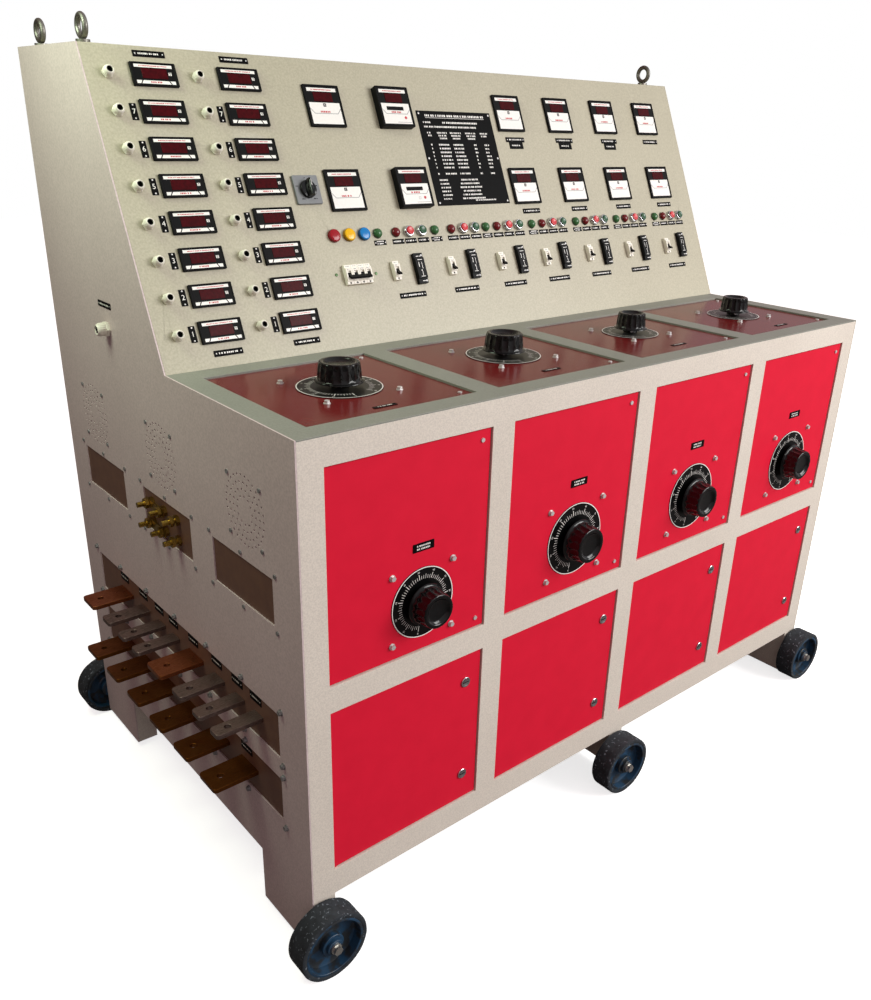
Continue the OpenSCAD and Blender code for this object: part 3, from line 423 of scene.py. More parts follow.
def outline(width, height, corner, steps=3):
    points = []
    for quarter, (sx, sy) in enumerate(((1, 1), (-1, 1), (-1, -1), (1, -1))):
        cx, cy = sx * (width / 2 - corner), sy * (height / 2 - corner)
        for step in range(steps + 1):
            points.append(polar(corner, radians(90 * quarter + 90 * step / steps), cx, cy))
    return points


# a skin through loops of the same length; ends says which of its ends are closed: both, last or none
def skin(at, loops, material, ends="both"):
    bm, place = at
    rings = [[bm.verts.new(place @ Vector(point)) for point in loop] for loop in loops]
    faces = []
    for low, high in zip(rings, rings[1:]):
        count = len(low)
        for k in range(count):
            faces.append(bm.faces.new((low[k], low[(k + 1) % count], high[(k + 1) % count], high[k])))
    if ends == "both":
        faces.append(bm.faces.new(rings[0][::-1]))
    if ends != "none":
        faces.append(bm.faces.new(rings[-1]))
    for face in faces:
        face.material_index = material


# flat outlines, each at its own height
def stack(at, levels, material, x=0, y=0, ends="both"):
    skin(at, [[(x + px, y + py, z) for px, py in points] for points, z in levels], material, ends)


# a plate with rounded corners and an eased front edge
def plate(at, x, y, width, height, low, high, material, corner=1.0, ease=0.5, steps=2):
    full = outline(width, height, corner, steps)
    small = outline(width - 2 * ease, height - 2 * ease, max(corner - ease, 0.2), steps)
    stack(at, ((full, low), (full, high - ease), (small, high)), material, x, y)


# a turned shape from (radius, height) pairs; radius may be a function of the angle
def turned(at, profile, material, steps=32, shift=(0, 0), ends="both"):
    turns = [2 * pi * k / steps for k in range(steps)]
    levels = [([polar(radius(turn) if callable(radius) else radius, turn, *shift) for turn in turns], height)
              for radius, height in profile]
    stack(at, levels, material, ends=ends)


# marks are single faces that lie just above a surface
def mark(at, points, z, material):
    bm, place = at
    bm.faces.new([bm.verts.new(place @ Vector((x, y, z))) for x, y in points]).material_index = material


def box(at, x, y, width, height, z, material):
    signs = ((-1, -1), (1, -1), (1, 1), (-1, 1))
    mark(at, [(x + sx * width / 2, y + sy * height / 2) for sx, sy in signs], z, material)


# rows of short bars where the real one has words
def wordBars(at, x, y, width, height, z, material, seed):
    chance = random.Random(seed)
    left = -width / 2
    while left < width / 2 - 0.8 * height:
        long = min(height * chance.uniform(0.5, 1.1), width / 2 - left)
        box(at, x + left + long / 2, y, long, height, z, material)
        left += long + height * chance.choice((0.35, 0.35, 0.35, 0.9))


digitShapes = {}


def digitShape(sign):
    if sign not in digitShapes:
        curve = bpy.data.curves.new("digit", "FONT")
        curve.body = sign
        curve.size = 1
        curve.align_x, curve.align_y = "CENTER", "CENTER"
        holder = addObject("digit", curve)
        bpy.context.view_layer.update()
        flat = bpy.data.meshes.new_from_object(holder.evaluated_get(bpy.context.evaluated_depsgraph_get()))
        points = [vertex.co.copy() for vertex in flat.vertices]
        digitShapes[sign] = points, [list(face.vertices) for face in flat.polygons]
        bpy.data.objects.remove(holder)
        bpy.data.meshes.remove(flat)
        bpy.data.curves.remove(curve)
    return digitShapes[sign]


def number(at, text, x, y, size, z, material, turn=0.0):
    bm, place = at
    points, faces = digitShape(text)
    spin = Matrix.Rotation(turn, 3, "Z")
    made = []
    for point in points:
        moved = spin @ Vector((point.x * size, point.y * size, 0))
        made.append(bm.verts.new(place @ Vector((x + moved.x, y + moved.y, z))))
    for face in faces:
        bm.faces.new([made[k] for k in face]).material_index = material


pieces = {}


def finishPiece(name, bm, materials, replaced=None, body="bench", angle=40):
    # marks are single faces and keep their side
    solid = [face for face in bm.faces if not all(edge.is_boundary for edge in face.edges)]
    bmesh.ops.recalc_face_normals(bm, faces=solid)
    mesh = bpy.data.meshes.new(name)
    bm.to_mesh(mesh)
    bm.free()
    for material in materials:
        mesh.materials.append(material)
    mesh.shade_smooth()
    mesh.set_sharp_from_angle(angle=radians(angle))
    piece = addObject(name, mesh)
    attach(piece, body)
    if replaced:
        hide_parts(replaced)
    pieces[name] = piece
    return piece


# scales: a white ring, ticks and numbers on each black dial plate
dial = {
    "radius": 86, "small": 0.89, "ring": 2.4, "top": 1.5, "rise": 0.25, "bore": 9, "start": -100,
    "sweep": 320, "steps": 60, "tickIn": 58, "tickLong": 71.5, "tickMiddle": 69, "tickShort": 66.5,
    "number": 77, "size": 6,
    "shift": (28, 18, 4, 6), "drop": (388, 371, 371, 371),
    "deskShift": (2, 13, 13, 16), "deskY": (243, 259, 257, 250), "deskShare": (1, 1, 0.84, 0.84),
}


def bayMiddle(bay):
    return bench["bayStart"] + bay * bench["bayPitch"] + bench["bayWidth"] / 2


def frontDial(bay):
    z = bench["deskHeight"] - dial["drop"][bay]
    return onFace(bayMiddle(bay) + dial["shift"][bay], z, bench["recess"]), dial["small"] if bay == 0 else 1.0


def deskDial(bay):
    place = onDesk(bayMiddle(bay) + dial["deskShift"][bay], dial["deskY"][bay], bench["recess"])
    return place, dial["deskShare"][bay]


def makeScales():
    bm = bmesh.new()
    top, rise = dial["top"], dial["top"] + dial["rise"]
    for place, share in [frontDial(bay) for bay in bays] + [deskDial(bay) for bay in bays]:
        at = bm, place
        radius = dial["radius"] * share
        inside = radius - dial["ring"]
        # the rim of the plate, its white ring, then the black disc inside it
        turned(at, [(radius, 0), (radius, top), (radius - 0.4, rise)], 0, 96, ends="none")
        turned(at, [(radius - 0.4, rise), (inside, rise)], 1, 96, ends="none")
        disc = [(inside, rise), (inside - 0.3, top), (dial["bore"], top), (dial["bore"], 0)]
        turned(at, disc, 0, 96, ends="none")
        for step in range(dial["steps"] + 1):
            turn = radians(dial["start"] - dial["sweep"] * step / dial["steps"])
            isLong = step % 6 == 0
            inner = dial["tickIn"] * share
            outer = dial["tickLong" if isLong else "tickMiddle" if step % 3 == 0 else "tickShort"] * share
            half = (0.75 if isLong else 0.5) * share
            along = Vector(polar(1, turn))
            ends = ((inner, -half), (outer, -half), (outer, half), (inner, half))
            mark(at, [along * r + along.orthogonal() * s for r, s in ends], top + 0.2, 1)
            if isLong:
                x, y = along * dial["number"] * share
                text = str(step * 10 // 6)
                number(at, text, x, y, dial["size"] * share, top + 0.2, 1, turn - pi / 2)
    finishPiece("dialScales", bm, [scaleBlack, scaleWhite], "dial_plates", angle=35)


makeScales()
print("scales made")

# knobs: skirt, fluted body and dished end, on a steel shaft with the brush arm
knob = {
    "flutes": 18, "depth": 2.0, "facets": 8, "hub": 18, "skirt": 50, "body": 44, "end": 41.5,
    "height": 52, "rim": 31, "dish": 7, "shaft": 5, "armEnd": -112, "armTop": -106, "coilEnd": -96,
    "coil": 110, "brush": 12, "screwAngle": -131,
}


def fluted(radius, share):
    def size(turn):
        place = (turn * knob["flutes"] / (2 * pi)) % 1
        hollow = 1 - abs(2 * place - 1) ** 2.4
        return radius - share * knob["depth"] * hollow
    return size


def makeKnob(name, place, share, body, node):
    bm = bmesh.new()
    at = bm, place
    h, hub, low, high = knob["height"], knob["hub"], knob["armEnd"], knob["armTop"]
    dish = h - knob["dish"]
    skirt, wide, end, rim = (knob[key] * share for key in ("skirt", "body", "end", "rim"))
    turned(at, [
        (hub, 3.2), (hub, 11.6), (skirt - 5, 12), (skirt - 0.8, 12.4), (skirt, 13.3), (skirt - 0.6, 14.4),
        (skirt - 3, 15.2), (wide + 0.4, 16.4), (fluted(wide, 0.2), 17.6), (fluted(wide, 0.8), 19.5),
        (fluted(wide, 1), 23), (fluted(wide * 0.4 + end * 0.6, 1), 38), (fluted(end, 0.9), 45),
        (fluted(end - 0.4, 0.5), h - 3.2), (end - 1.4, h - 1.2), (end - 3, h - 0.2), (end - 4.5, h),
        (rim + 2.5, h), (rim + 0.8, h - 0.4), (rim - 0.6, h - 1.8), (rim - 3.5, dish + 1.6),
        (rim - 9, dish + 0.3), (rim * 0.35, dish - 0.2), (1.2, dish - 0.3),
    ], 0, knob["flutes"] * knob["facets"])
    # clamping screw through the hub
    turn = radians(knob["screwAngle"])
    toFrame = place.to_3x3() * 1000
    across = toFrame @ Vector((-sin(turn), cos(turn), 0))
    screw = placeAt(place @ Vector((*polar(16, turn), 7.6)), across, toFrame @ Vector((0, 0, 1)))
    turned((bm, screw), [(3.4, 0), (3.4, 6.5), (2.8, 7.2), (1.6, 7.2), (1.6, 5)], 1, 18)
    # shaft, arm and brush
    turned(at, [(knob["shaft"], low), (knob["shaft"], 4)], 2, 24)
    turned(at, [(13, low), (14, low + 0.8), (14, high), (12, high + 1)], 2, 24)
    reach = (knob["coil"] - knob["brush"]) * share
    plate(at, 0, reach / 2, 16, reach, low + 0.6, high - 0.4, 2, 2, 0.6)
    brushY = (knob["coil"] - 1.5 * knob["brush"]) * share
    plate(at, 0, brushY, 12, 12, high - 0.6, knob["coilEnd"] - 0.4, 3, 1, 0.8)
    finishPiece(name, bm, [phenolic, chrome, steel, scaleBlack], node, body)


dials = {"front": frontDial, "desk": deskDial}
for bay in bays:
    for side, dialOf in dials.items():
        end = f"{side}_{bay + 1}"
        makeKnob(f"{side}Knob{bay + 1}", *dialOf(bay), f"{side}_dial_{bay + 1}", f"rotor_{end}")
print("knobs made")

# panel meters: black bezel, printed film and a dark red window; the cases stand behind the panel
meter = {
    "size": 96, "small": 48, "front": 6, "deep": 18, "case": 70, "cut": 91, "smallCut": 43,
    "columnX": 143, "columnPitch": 190, "rowTop": 602, "rowPitch": 75.5,
    "largeX": 535, "largePitch": 193, "outX": 1114, "outPitch": 191, "rows": (552, 358),
}
meterFinish = [caseBlack, whiteFilm, windowRed, redFilm, greyFilm, phenolic]


def meterPlace(column, line, shift=0):
    x = meter["columnX"] + column * meter["columnPitch"] + shift
    return onSlope(x, meter["rowTop"] - line * meter["rowPitch"])


def bezel(at, width, height, front, cutWidth, cutHeight):
    # a raised lip round a face that sits 1 mm lower
    behind, full = outline(cutWidth, cutHeight, 1), outline(width, height, 1.6)
    lip, inner = outline(width - 1.2, height - 1.2, 1.2), outline(width - 5, height - 5, 0.8)
    sill = outline(width - 7, height - 7, 0.6)
    stack(at, (
        (behind, -meter["case"]), (behind, 0.0), (full, 0.02), (full, front - 0.6),
        (lip, front), (inner, front), (sill, front - 1)), 0)


def makeSmallMeters():
    bm = bmesh.new()
    z = meter["front"] - 0.7
    for column in meterColumns:
        for line in meterLines:
            at = bm, meterPlace(column, line)
            bezel(at, meter["size"], meter["small"], meter["front"], meter["cut"], meter["smallCut"])
            box(at, 0, 16.2, 80, 6.2, z, 1)
            wordBars(at, 0, 16.2, 60, 2.0, z + 0.2, 3, column * 8 + line)
            # the window and the key beside it
            plate(at, 0, 1.2, 54, 20.5, z - 0.3, z + 0.5, 2, 1, 0.3)
            plate(at, 33, 1.5, 6.5, 6, z - 0.3, z + 0.35, 1, 0.4, 0.2)
            box(at, 33, 2.6, 4, 1.4, z + 0.5, 5)
            box(at, 33, 0, 3, 1.0, z + 0.5, 5)
            # the white foot, cut in three by slanted lines
            mark(at, [(-31, -19.6), (31, -19.6), (27, -13), (-27, -13)], z, 1)
            for side in (-1, 1):
                points = [(side * 33.5, -19.6), (side * 41, -19.6), (side * 41, -13), (side * 29.5, -13)]
                mark(at, points[::side], z, 1)
            wordBars(at, 0, -16.2, 24, 3.0, z + 0.2, 3, 40 + line)
    finishPiece("smallMeterSet", bm, meterFinish, "small_meters", angle=35)


def makeLargeMeters():
    bm = bmesh.new()
    rows, size = meter["rows"], meter["size"]
    places = [(meter["largeX"] + k * meter["largePitch"], s, k == 1) for k in range(2) for s in rows]
    places += [(meter["outX"] + k * meter["outPitch"], s, False) for s in rows for k in range(4)]
    for order, (x, s, isDeep) in enumerate(places):
        at = bm, onSlope(x, s)
        front = meter["deep"] if isDeep else meter["front"]
        z = front - 0.7
        bezel(at, size, size, front, meter["cut"], meter["cut"])
        box(at, 0, 36.5, 78, 8, z, 1)
        wordBars(at, 0, 36.5, 56, 2.4, z + 0.2, 3, 60 + order)
        plate(at, 0, 20, 50, 21, z - 0.3, z + 0.5, 2, 1, 0.3)
        box(at, 0, -17.5, 82, 49, z, 1)
        # the thin grey line that dips like a shallow tray
        corners = [Vector(corner) for corner in ((-40.5, -7), (-31, -18), (31, -18), (40.5, -7))]
        for a, b in zip(corners, corners[1:]):
            side = (b - a).normalized().orthogonal() * 0.6
            mark(at, (a - side, b - side, b + side, a + side), z + 0.2, 4)
        wordBars(at, 0, -14, 30, 4.0, z + 0.25, 3, 90 + order)
        if isDeep:
            plate(at, -2, -5, 50, 9, z - 0.2, z + 0.5, 0, 1, 0.3)
            turned(at, [(3.6, z - 0.2), (3.6, z + 0.4), (3.0, z + 0.7)], 3, 20, (24, -27))
            if s == rows[1]:
                box(at, 8, -28, 7, 6, z + 0.2, 4)
                box(at, 8, -28, 5.4, 4.4, z + 0.3, 1)
            box(at, 18, -38, 42, 0.9, z + 0.2, 4)
        else:
            box(at, 0, 1.5, 7.5, 7.5, z + 0.2, 5)
            box(at, 0, 2.2, 3.4, 1.2, z + 0.3, 1)
            box(at, 0, 0, 3.4, 1.0, z + 0.3, 1)
    finishPiece("largeMeterSet", bm, meterFinish, "large_meters", angle=35)


makeSmallMeters()
makeLargeMeters()
print("meters made")

# engraved labels: black stock with white bars for words, plain numbers on the row tags
label = {
    "thick": 1.2, "headS": 645, "footS": 28.5, "tagX": -62, "tag": (14, 34), "underOut": (69, 84.5, 67),
    "rating": (924, 433, 246, 238), "group": 596, "groupPitch": 171, "groupShift": (0, 2, 1, -3, 0, 2, 9),
    "lampDx": (0, 39, 77, 116), "firstGap": 14.5, "lampS": 255, "underLamp": -22, "underGroup": (62, 103),
    "side": (771, 1248), "overBars": (196, 274, 365, 477, 579, 657, 748, 860), "overBarsZ": 550,
    "overLower": (251, 394), "aboveDial": 136, "belowDial": (-5, -157),
}


def groupStart(group):
    return label["group"] + group * label["groupPitch"] + label["groupShift"][group]


# the first two groups leave more room after their green lamp
def lampPlace(group, order, right=0, up=0):
    gap = label["firstGap"] if group < 2 and order else 0
    x = groupStart(group) + label["lampDx"][order] + gap
    return onSlope(x + right, label["lampS"] + up)


# a small screw in a label's face
def labelScrew(at, radius, end, shift):
    low = label["thick"]
    turned(at, [(radius, low - 0.1), (radius, low + 0.5), (end, low + 0.8)], 2, 10, shift)


def labelPlate(at, width, height, seed, lines=1, hasScrews=True, x=0, y=0):
    thick, edge = label["thick"], min(5, width * 0.09)
    plate(at, x, y, width, height, 0, thick, 0, 0.8, 0.35)
    if hasScrews:
        for side in (-1, 1):
            labelScrew(at, 1.5, 1.0, (x + side * (width / 2 - edge), y))
    size = min(3.4, height / (lines * 2.1))
    for line in range(lines):
        up = y + (lines / 2 - line - 0.5) * size * 1.9
        wide = width - 4 * edge - (2 if hasScrews else 0)
        wordBars(at, x, up, wide, size, thick + 0.2, 1, seed * 7 + line)


def makeLabels():
    bm = bmesh.new()
    thick, rows = label["thick"], meter["rows"]
    for column in meterColumns:
        x = meter["columnX"] + column * meter["columnPitch"]
        labelPlate((bm, onSlope(x, label["headS"])), 68, 13, 1 + column)
        labelPlate((bm, onSlope(x + 5, label["footS"])), 66, 13, 3 + column)
        for line in meterLines[1:]:
            at = bm, meterPlace(column, line, label["tagX"])
            plate(at, 0, 0, *label["tag"], 0, thick, 0, 0.8, 0.35)
            number(at, str(8 - line), 0, 0, 15, thick + 0.2, 1)
            for y in (-13.5, 13.5):
                labelScrew(at, 1.7, 1.1, (0, y))
    near, far, lower = label["underOut"]
    for k in range(4):
        x = meter["outX"] + k * meter["outPitch"] + 6
        labelPlate((bm, onSlope(x, rows[0] - near)), 68, 13, 10 + k)
        if k < 3:
            labelPlate((bm, onSlope(x, rows[0] - far)), 50, 18, 20 + k, 1, False)
        labelPlate((bm, onSlope(x, rows[1] - lower)), 64, 13, 30 + k)
    right, s = label["underGroup"]
    for group in groups:
        for order in range(4):
            at = bm, lampPlace(group, order, 3, label["underLamp"])
            labelPlate(at, 34, 12, 40 + group * 4 + order, 2 if order == 0 else 1)
        labelPlate((bm, onSlope(groupStart(group) + right, s)), 80, 13, 80 + group)
    labelPlate((bm, onLeft(*label["side"])), 70, 13, 90)
    for order, y in enumerate(label["overBars"]):
        labelPlate((bm, onLeft(y, label["overBarsZ"], bench["sheet"])), 46, 20, 91 + order)
    labelPlate((bm, onLeft(*label["overLower"], bench["sheet"])), 46, 20, 99)
    for bay in bays:
        place, share = frontDial(bay)
        labelPlate((bm, place), 52, 18, 110 + bay, 2, False, 0, label["aboveDial"] * share)
        labelPlate((bm, deskDial(bay)[0]), 52, 10, 120 + bay, 1, False, *label["belowDial"])
    ratingPlate(bm)
    finishPiece("labelSet", bm, [engraved, whiteFilm, zinc], "label_plates", angle=35)


# the large table: a heading, column heads and eight rows, all in plain bars
def ratingPlate(bm):
    x, s, width, height = label["rating"]
    at = bm, onSlope(x, s)
    z = label["thick"] + 0.2
    plate(at, 0, 0, width, height, 0, label["thick"], 0, 1, 0.4)
    for px in (-width / 2 + 7, width / 2 - 7):
        for py in (-height / 2 + 7, 0, height / 2 - 7):
            turned(at, [(2.6, 1), (2.6, 1.7), (1.8, 2.2)], 2, 12, (px, py))

    def words(cx, y, wide, high, seed):
        wordBars(at, cx, y, wide, high, z, 1, seed)

    words(0, 107, 196, 5.2, 201)
    box(at, 0, 101.5, 196, 0.9, z, 1)
    for line, (left, middle) in enumerate(((24, 120), (76, 110))):
        y = 90 - line * 11
        words(-108 + left / 2, y, left, 4, 203 + line)
        words(14, y, middle, 4.4, 205 + line)
    for order, (cx, wide) in enumerate(((-96, 14), (-54, 34), (-10, 38), (40, 36), (86, 26))):
        for line in range(2 if order in (0, 4) else 3):
            words(cx, 64 - line * 7, wide * (1 - 0.15 * line), 3.8, 210 + order * 3 + line)
    for line in range(8):
        y = 34 - line * 9.6 - (6 if line == 7 else 0)
        for order, (cx, wide) in enumerate(((-96, 6), (-56, 36), (-8, 36), (48, 9), (88, 16))):
            words(cx, y, wide, 4, 230 + line * 5 + order)
    for line in range(6):
        y = -55 - line * 9.5
        words(-84, y, 30, 3.8, 280 + line)
        words(2, y, 60 + 8 * (line % 3), 4, 290 + line)
    words(40, -108, 70, 3.4, 300)


makeLabels()
print("labels made")

# lamps, buttons, selector
lamp = {
    "phaseX": 474, "phasePitch": 41.5, "phase": 15, "small": 12, "holeR": 8, "depth": 35,
    "bezel": 14, "bore": 10, "barrel": 11, "barrelEnd": -38, "rise": 10, "selector": (433, 361),
}


def lampAt(at, lens):
    r, stem = lamp["small"], [(lamp["holeR"], -lamp["depth"]), (lamp["holeR"], 0)]
    turned(at, [*stem, (r, 0.02), (r, 1.4), (r - 0.8, 2.2)], 2, 32)
    profile = [(r - 0.8, 2.0), (r - 0.8, 3.4)]
    for step in range(1, 7):
        turn = radians(step * 14.5)
        profile.append(((r - 0.8) * cos(turn), 3.4 + r * 0.72 * sin(turn)))
    turned(at, profile, lens, 32, ends="last")


def flatLampAt(at, lens, rim):
    r, stem = lamp["phase"], [(lamp["holeR"], -lamp["depth"]), (lamp["holeR"], 0)]
    turned(at, [*stem, (r, 0.02), (r, 6.4), (r - 0.9, 8.2)], rim, 40)
    turned(at, [
        (r - 1.0, 8.0), (r - 2.2, 9.0), (r - 4.4, 9.6), (r * 0.5, 10.0), (r * 0.25, 10.2), (r * 0.06, 10.2),
    ], lens, 40, ends="last")


def makeLamps():
    bm = bmesh.new()
    for group in groups:
        for order in range(2):
            lampAt((bm, lampPlace(group, order)), 1 - order)
    for k in range(3):
        flatLampAt((bm, onSlope(lamp["phaseX"] + k * lamp["phasePitch"], label["lampS"])), 3 + k, 6 + k)
    lenses = [lensRed, lensGreen, greyRim, *phaseLenses]
    finishPiece("lampSet", bm, lenses, "indicator_lamps", angle=50)


def makeBezels():
    bm = bmesh.new()
    r, bore, rise, barrel, end = (lamp[key] for key in ("bezel", "bore", "rise", "barrel", "barrelEnd"))
    for group in groups:
        for order in (2, 3):
            turned((bm, lampPlace(group, order)), [
                (barrel, end), (barrel, 0), (r, 0.02), (r, 3.6), (r - 0.5, 5), (r - 1.2, 8.6), (r - 1.9, 9.7),
                (r - 2.8, rise), (bore + 0.5, rise), (bore, rise - 0.6), (bore, 2), (bore - 3, end + 4),
                (1, end + 4)], 0, 36)
    # selector: a grey plate with five marks round its knob, and the switch body behind
    at = bm, onSlope(*lamp["selector"])
    plate(at, 0, 0, 65, 65, 0, 6, 1, 3, 1, 4)
    plate(at, 0, 0, 50, 50, -60, -bench["sheet"] - 0.05, 2, 2, 0.5)
    turned(at, [(11.7, -bench["sheet"]), (11.7, 0.1)], 2, 24)
    for turn, wide in ((90, 5), (18, 8), (162, 8), (-54, 10), (234, 10)):
        wordBars(at, *polar(26, radians(turn)), wide, 2, 6.15, 3, turn + 400)
    finishPiece("bezelSet", bm, [chrome, selectorGrey, caseBlack, phenolic], "control_bezels")


def makeCaps(name, order, material, body, node):
    bm = bmesh.new()
    for group in groups:
        turned((bm, lampPlace(group, order)), [
            (4, -28), (4, 4), (9.4, 4.2), (9.7, 5), (9.7, 12.6), (9.2, 13.5), (8.2, 13.8), (7.4, 13.3),
            (1, 12.9)], 0)
    finishPiece(name, bm, [material], node, body)


def makeSelectorKnob():
    bm = bmesh.new()
    at = bm, onSlope(*lamp["selector"])
    turned(at, [(5, -24), (5, 7)], 1, 20)
    turned(at, [(19, 6.5), (20, 7.2), (20, 12), (19, 13.6), (15, 14.4), (1, 14.6)], 0, 40)
    # the pointer's right half at three heights, mirrored to the left
    halves = (((7, -19, 13), (8, 0, 13), (5, 17, 13), (0, 22, 13)),
              ((5.6, -18.5, 24), (5.4, 0, 25), (3.6, 16, 25), (0, 21, 25)),
              ((3.4, -17, 27), (3.2, 0, 28), (2, 14, 27.6), (0, 18.5, 27)))
    skin(at, [[(-half[0][0], *half[0][1:]), *half, *((-x, y, z) for x, y, z in half[2:0:-1])]
                     for half in halves], 0)
    box(at, 0, 9, 1.2, 14, 28.1, 2)
    materials = [phenolic, steel, whiteFilm]
    finishPiece("selectorPointer", bm, materials, "selector_knob", "selector")


makeLamps()
makeBezels()
makeCaps("stopCapSet", 2, capRed, "stop_caps", "stop_buttons")
makeCaps("startCapSet", 3, capGreen, "start_caps", "start_buttons")
makeSelectorKnob()
print("lamps and buttons made")

# breakers and timer modules
breaker = {
    "pole": 18, "high": 45, "out": 13, "shoulder": 9, "mainX": 511, "dx": 25, "s": 163, "pivot": 7,
    "throw": 40, "barrel": 5, "slotSides": 8.8, "moduleDx": 72, "module": (28, 74, 12), "step": 3,
}
mainPlace = onSlope(breaker["mainX"], breaker["s"])


def breakerPlace(group, dx=0):
    return onSlope(groupStart(group) + breaker["dx"] + dx, breaker["s"])


def breakerAt(at, poles, seed):
    pitch, out, low = breaker["pole"], breaker["out"], breaker["shoulder"]
    plate(at, 0, 0, poles * pitch, 80, -50, -bench["sheet"] - 0.05, 0, 1.5, 0.5)
    for pole in range(poles):
        x = (pole - (poles - 1) / 2) * pitch
        # the body is stepped: low shoulders above and below, and a taller middle with the lever's slot
        plate(at, x, 0, pitch - 0.3, breaker["high"], -bench["sheet"], low, 0, 0.8, 0.4)
        for side in (-1, 1):
            plate(at, x + side * 6.9, 0, 4, 30, low - 0.2, out, 0, 0.6, 0.5)
        for side in (-1, 1):
            plate(at, x, side * 11.5, 9.8, 7, low - 0.2, out - 0.2, 0, 0.5, 0.4)
        wordBars(at, x, 11.5, 8, 2, out, 2, seed + pole)
        wordBars(at, x, 19, 10, 1.6, low + 0.2, 2, seed + 9 + pole)
        screw = [(2.3, low - 0.3), (2.3, low + 0.4), (1.7, low + 0.6), (0.3, low - 0.2)]
        turned(at, screw, 1, 12, (x, -19))


def leverAt(at, poles):
    wide = poles * breaker["pole"] - breaker["slotSides"]
    size, pivot = breaker["barrel"] - 0.1, breaker["pivot"]
    across = at[1] @ Matrix.Translation((0, 0, pivot)) @ Matrix.Rotation(radians(90), 4, "Y")
    turned((at[0], across), [(1, -wide / 2), (size, -wide / 2), (size, wide / 2), (1, wide / 2)], 0, 28)
    lean = radians(breaker["throw"])
    rows = []
    for z, half, thick in ((3, 0.48, 2.5), (14, 0.47, 2.2), (17.8, 0.45, 1.9), (18.8, 0.42, 1.2)):
        rows.append([
            (sx * wide * half, sy * thick * cos(lean) - z * sin(lean),
             pivot + sy * thick * sin(lean) + z * cos(lean))
            for sx, sy in ((-1, -1), (1, -1), (1, 1), (-1, 1))])
    skin(at, rows, 0)


def makeBreakers():
    bm = bmesh.new()
    breakerAt((bm, mainPlace), 4, 500)
    for group in groups:
        breakerAt((bm, breakerPlace(group)), 1, 520 + 10 * group)
    finishPiece("breakerSet", bm, [urea, caseBlack, greyFilm], "breaker_bodies")


def makeLevers(name, places, poles, body, node):
    bm = bmesh.new()
    for place in places:
        leverAt((bm, place), poles)
    finishPiece(name, bm, [toggleBlack], node, body)


def makeModules():
    bm = bmesh.new()
    wide, high, out = breaker["module"]
    low = out - breaker["step"]
    marks = ((-3, 29, 8, 1.6), (5, 29, 4, 1.6), (0, 20, 14, 1.4), (-5, 8, 1.6, 12), (4, 6, 1.2, 16),
             (0, -6, 3, 3), (1, -14, 1.4, 10), (0, -20.5, 12, 1.2), (2, -31, 9, 1.6))
    for group in groups:
        at = bm, breakerPlace(group, breaker["moduleDx"])
        plate(at, 0, 0, wide, high, 0, low, 0, 1, 0.5)
        plate(at, 0, 0, wide - 0.6, 50, low - 0.2, out, 0, 1, 0.6)
        for x, y, markWide, markHigh in marks:
            box(at, x, y, markWide, markHigh, (out if abs(y) < 25 else low) + 0.15, 1)
        screw = [(2.4, low - 0.2), (2.4, low + 0.4), (1.7, low + 0.6), (0.3, low)]
        for y in (-31, 31):
            turned(at, screw, 2, 12, (9.5, y))
    finishPiece("moduleSet", bm, [moduleBlack, whiteFilm, zinc], "timer_modules")


makeBreakers()
makeLevers("mainLever", [mainPlace], 4, "main_switch", "main_breaker_toggle")
makeLevers("circuitLevers", map(breakerPlace, groups), 1, "circuit_switches", "breaker_toggles")
makeModules()
print("breakers made")

# cable glands: hexagon, cap with fine ribs, dark rubber ring in the mouth
gland = {
    "hex": 12, "shank": 8, "nutLow": -8, "shankEnd": -12, "ribs": 18, "shift": -96, "side": (765, 1197),
    "sideScale": 1.4,
    "cap": ((5.8, 9.8), (6.4, 10.5), (13.2, 10.4), (15.6, 9.7), (17.8, 8.4), (19, 7.4), (19, 6.4),
            (17.6, 6.0), (8, 6.0)),
}


def glandAt(at, k):
    full = [polar(gland["hex"] * k, radians(60 * n)) for n in range(6)]
    eased = [(x * 0.95, y * 0.95) for x, y in full]
    stack(at, ((eased, 0.02), (full, 0.7 * k), (full, 5.2 * k), (eased, 6 * k)), 0)
    stack(at, ((full, gland["nutLow"] * k), (full, -bench["sheet"] - 0.05)), 0)
    turned(at, [(gland["shank"] * k, gland["shankEnd"] * k), (gland["shank"] * k, 1)], 0, 24)
    # ribbed cap, then the soft ring in its mouth
    count = gland["ribs"] * 4
    levels = []
    for z, r in gland["cap"]:
        ring = []
        for n in range(count):
            rib = 0.35 if n % 4 < 2 and 6 < z < 15 else 0
            ring.append(polar((r - rib) * k, 2 * pi * n / count))
        levels.append((ring, z * k))
    stack(at, levels, 0)
    mouth = ((6.0, 17.2), (4.7, 17.4), (4.4, 16.8), (4.3, 9), (0.4 / k, 8.6))
    turned(at, [(r * k, z * k) for r, z in mouth], 1, 32, ends="last")


def makeGlands():
    bm = bmesh.new()
    for column in meterColumns:
        for line in meterLines:
            glandAt((bm, meterPlace(column, line, gland["shift"])), 1)
    glandAt((bm, onLeft(*gland["side"])), gland["sideScale"])
    finishPiece("glandSet", bm, [nylon, caseBlack], "cable_glands")


makeGlands()
print("glands made")

# copper bars: the wide ones bare copper, the narrow ones dull and darkened
bar = {
    "out": 98, "inside": 70, "thick": 10, "corner": 8, "holeR": 7, "holeIn": 32, "wide": 60,
    "upper": ((188, 36), (266, 38), (357, 46), (469, 72), (571, 36), (649, 38), (740, 46), (852, 72)),
    "lower": tuple((242 + 127 * k, 72) for k in range(6)), "upperZ": 512, "lowerZ": 356,
}


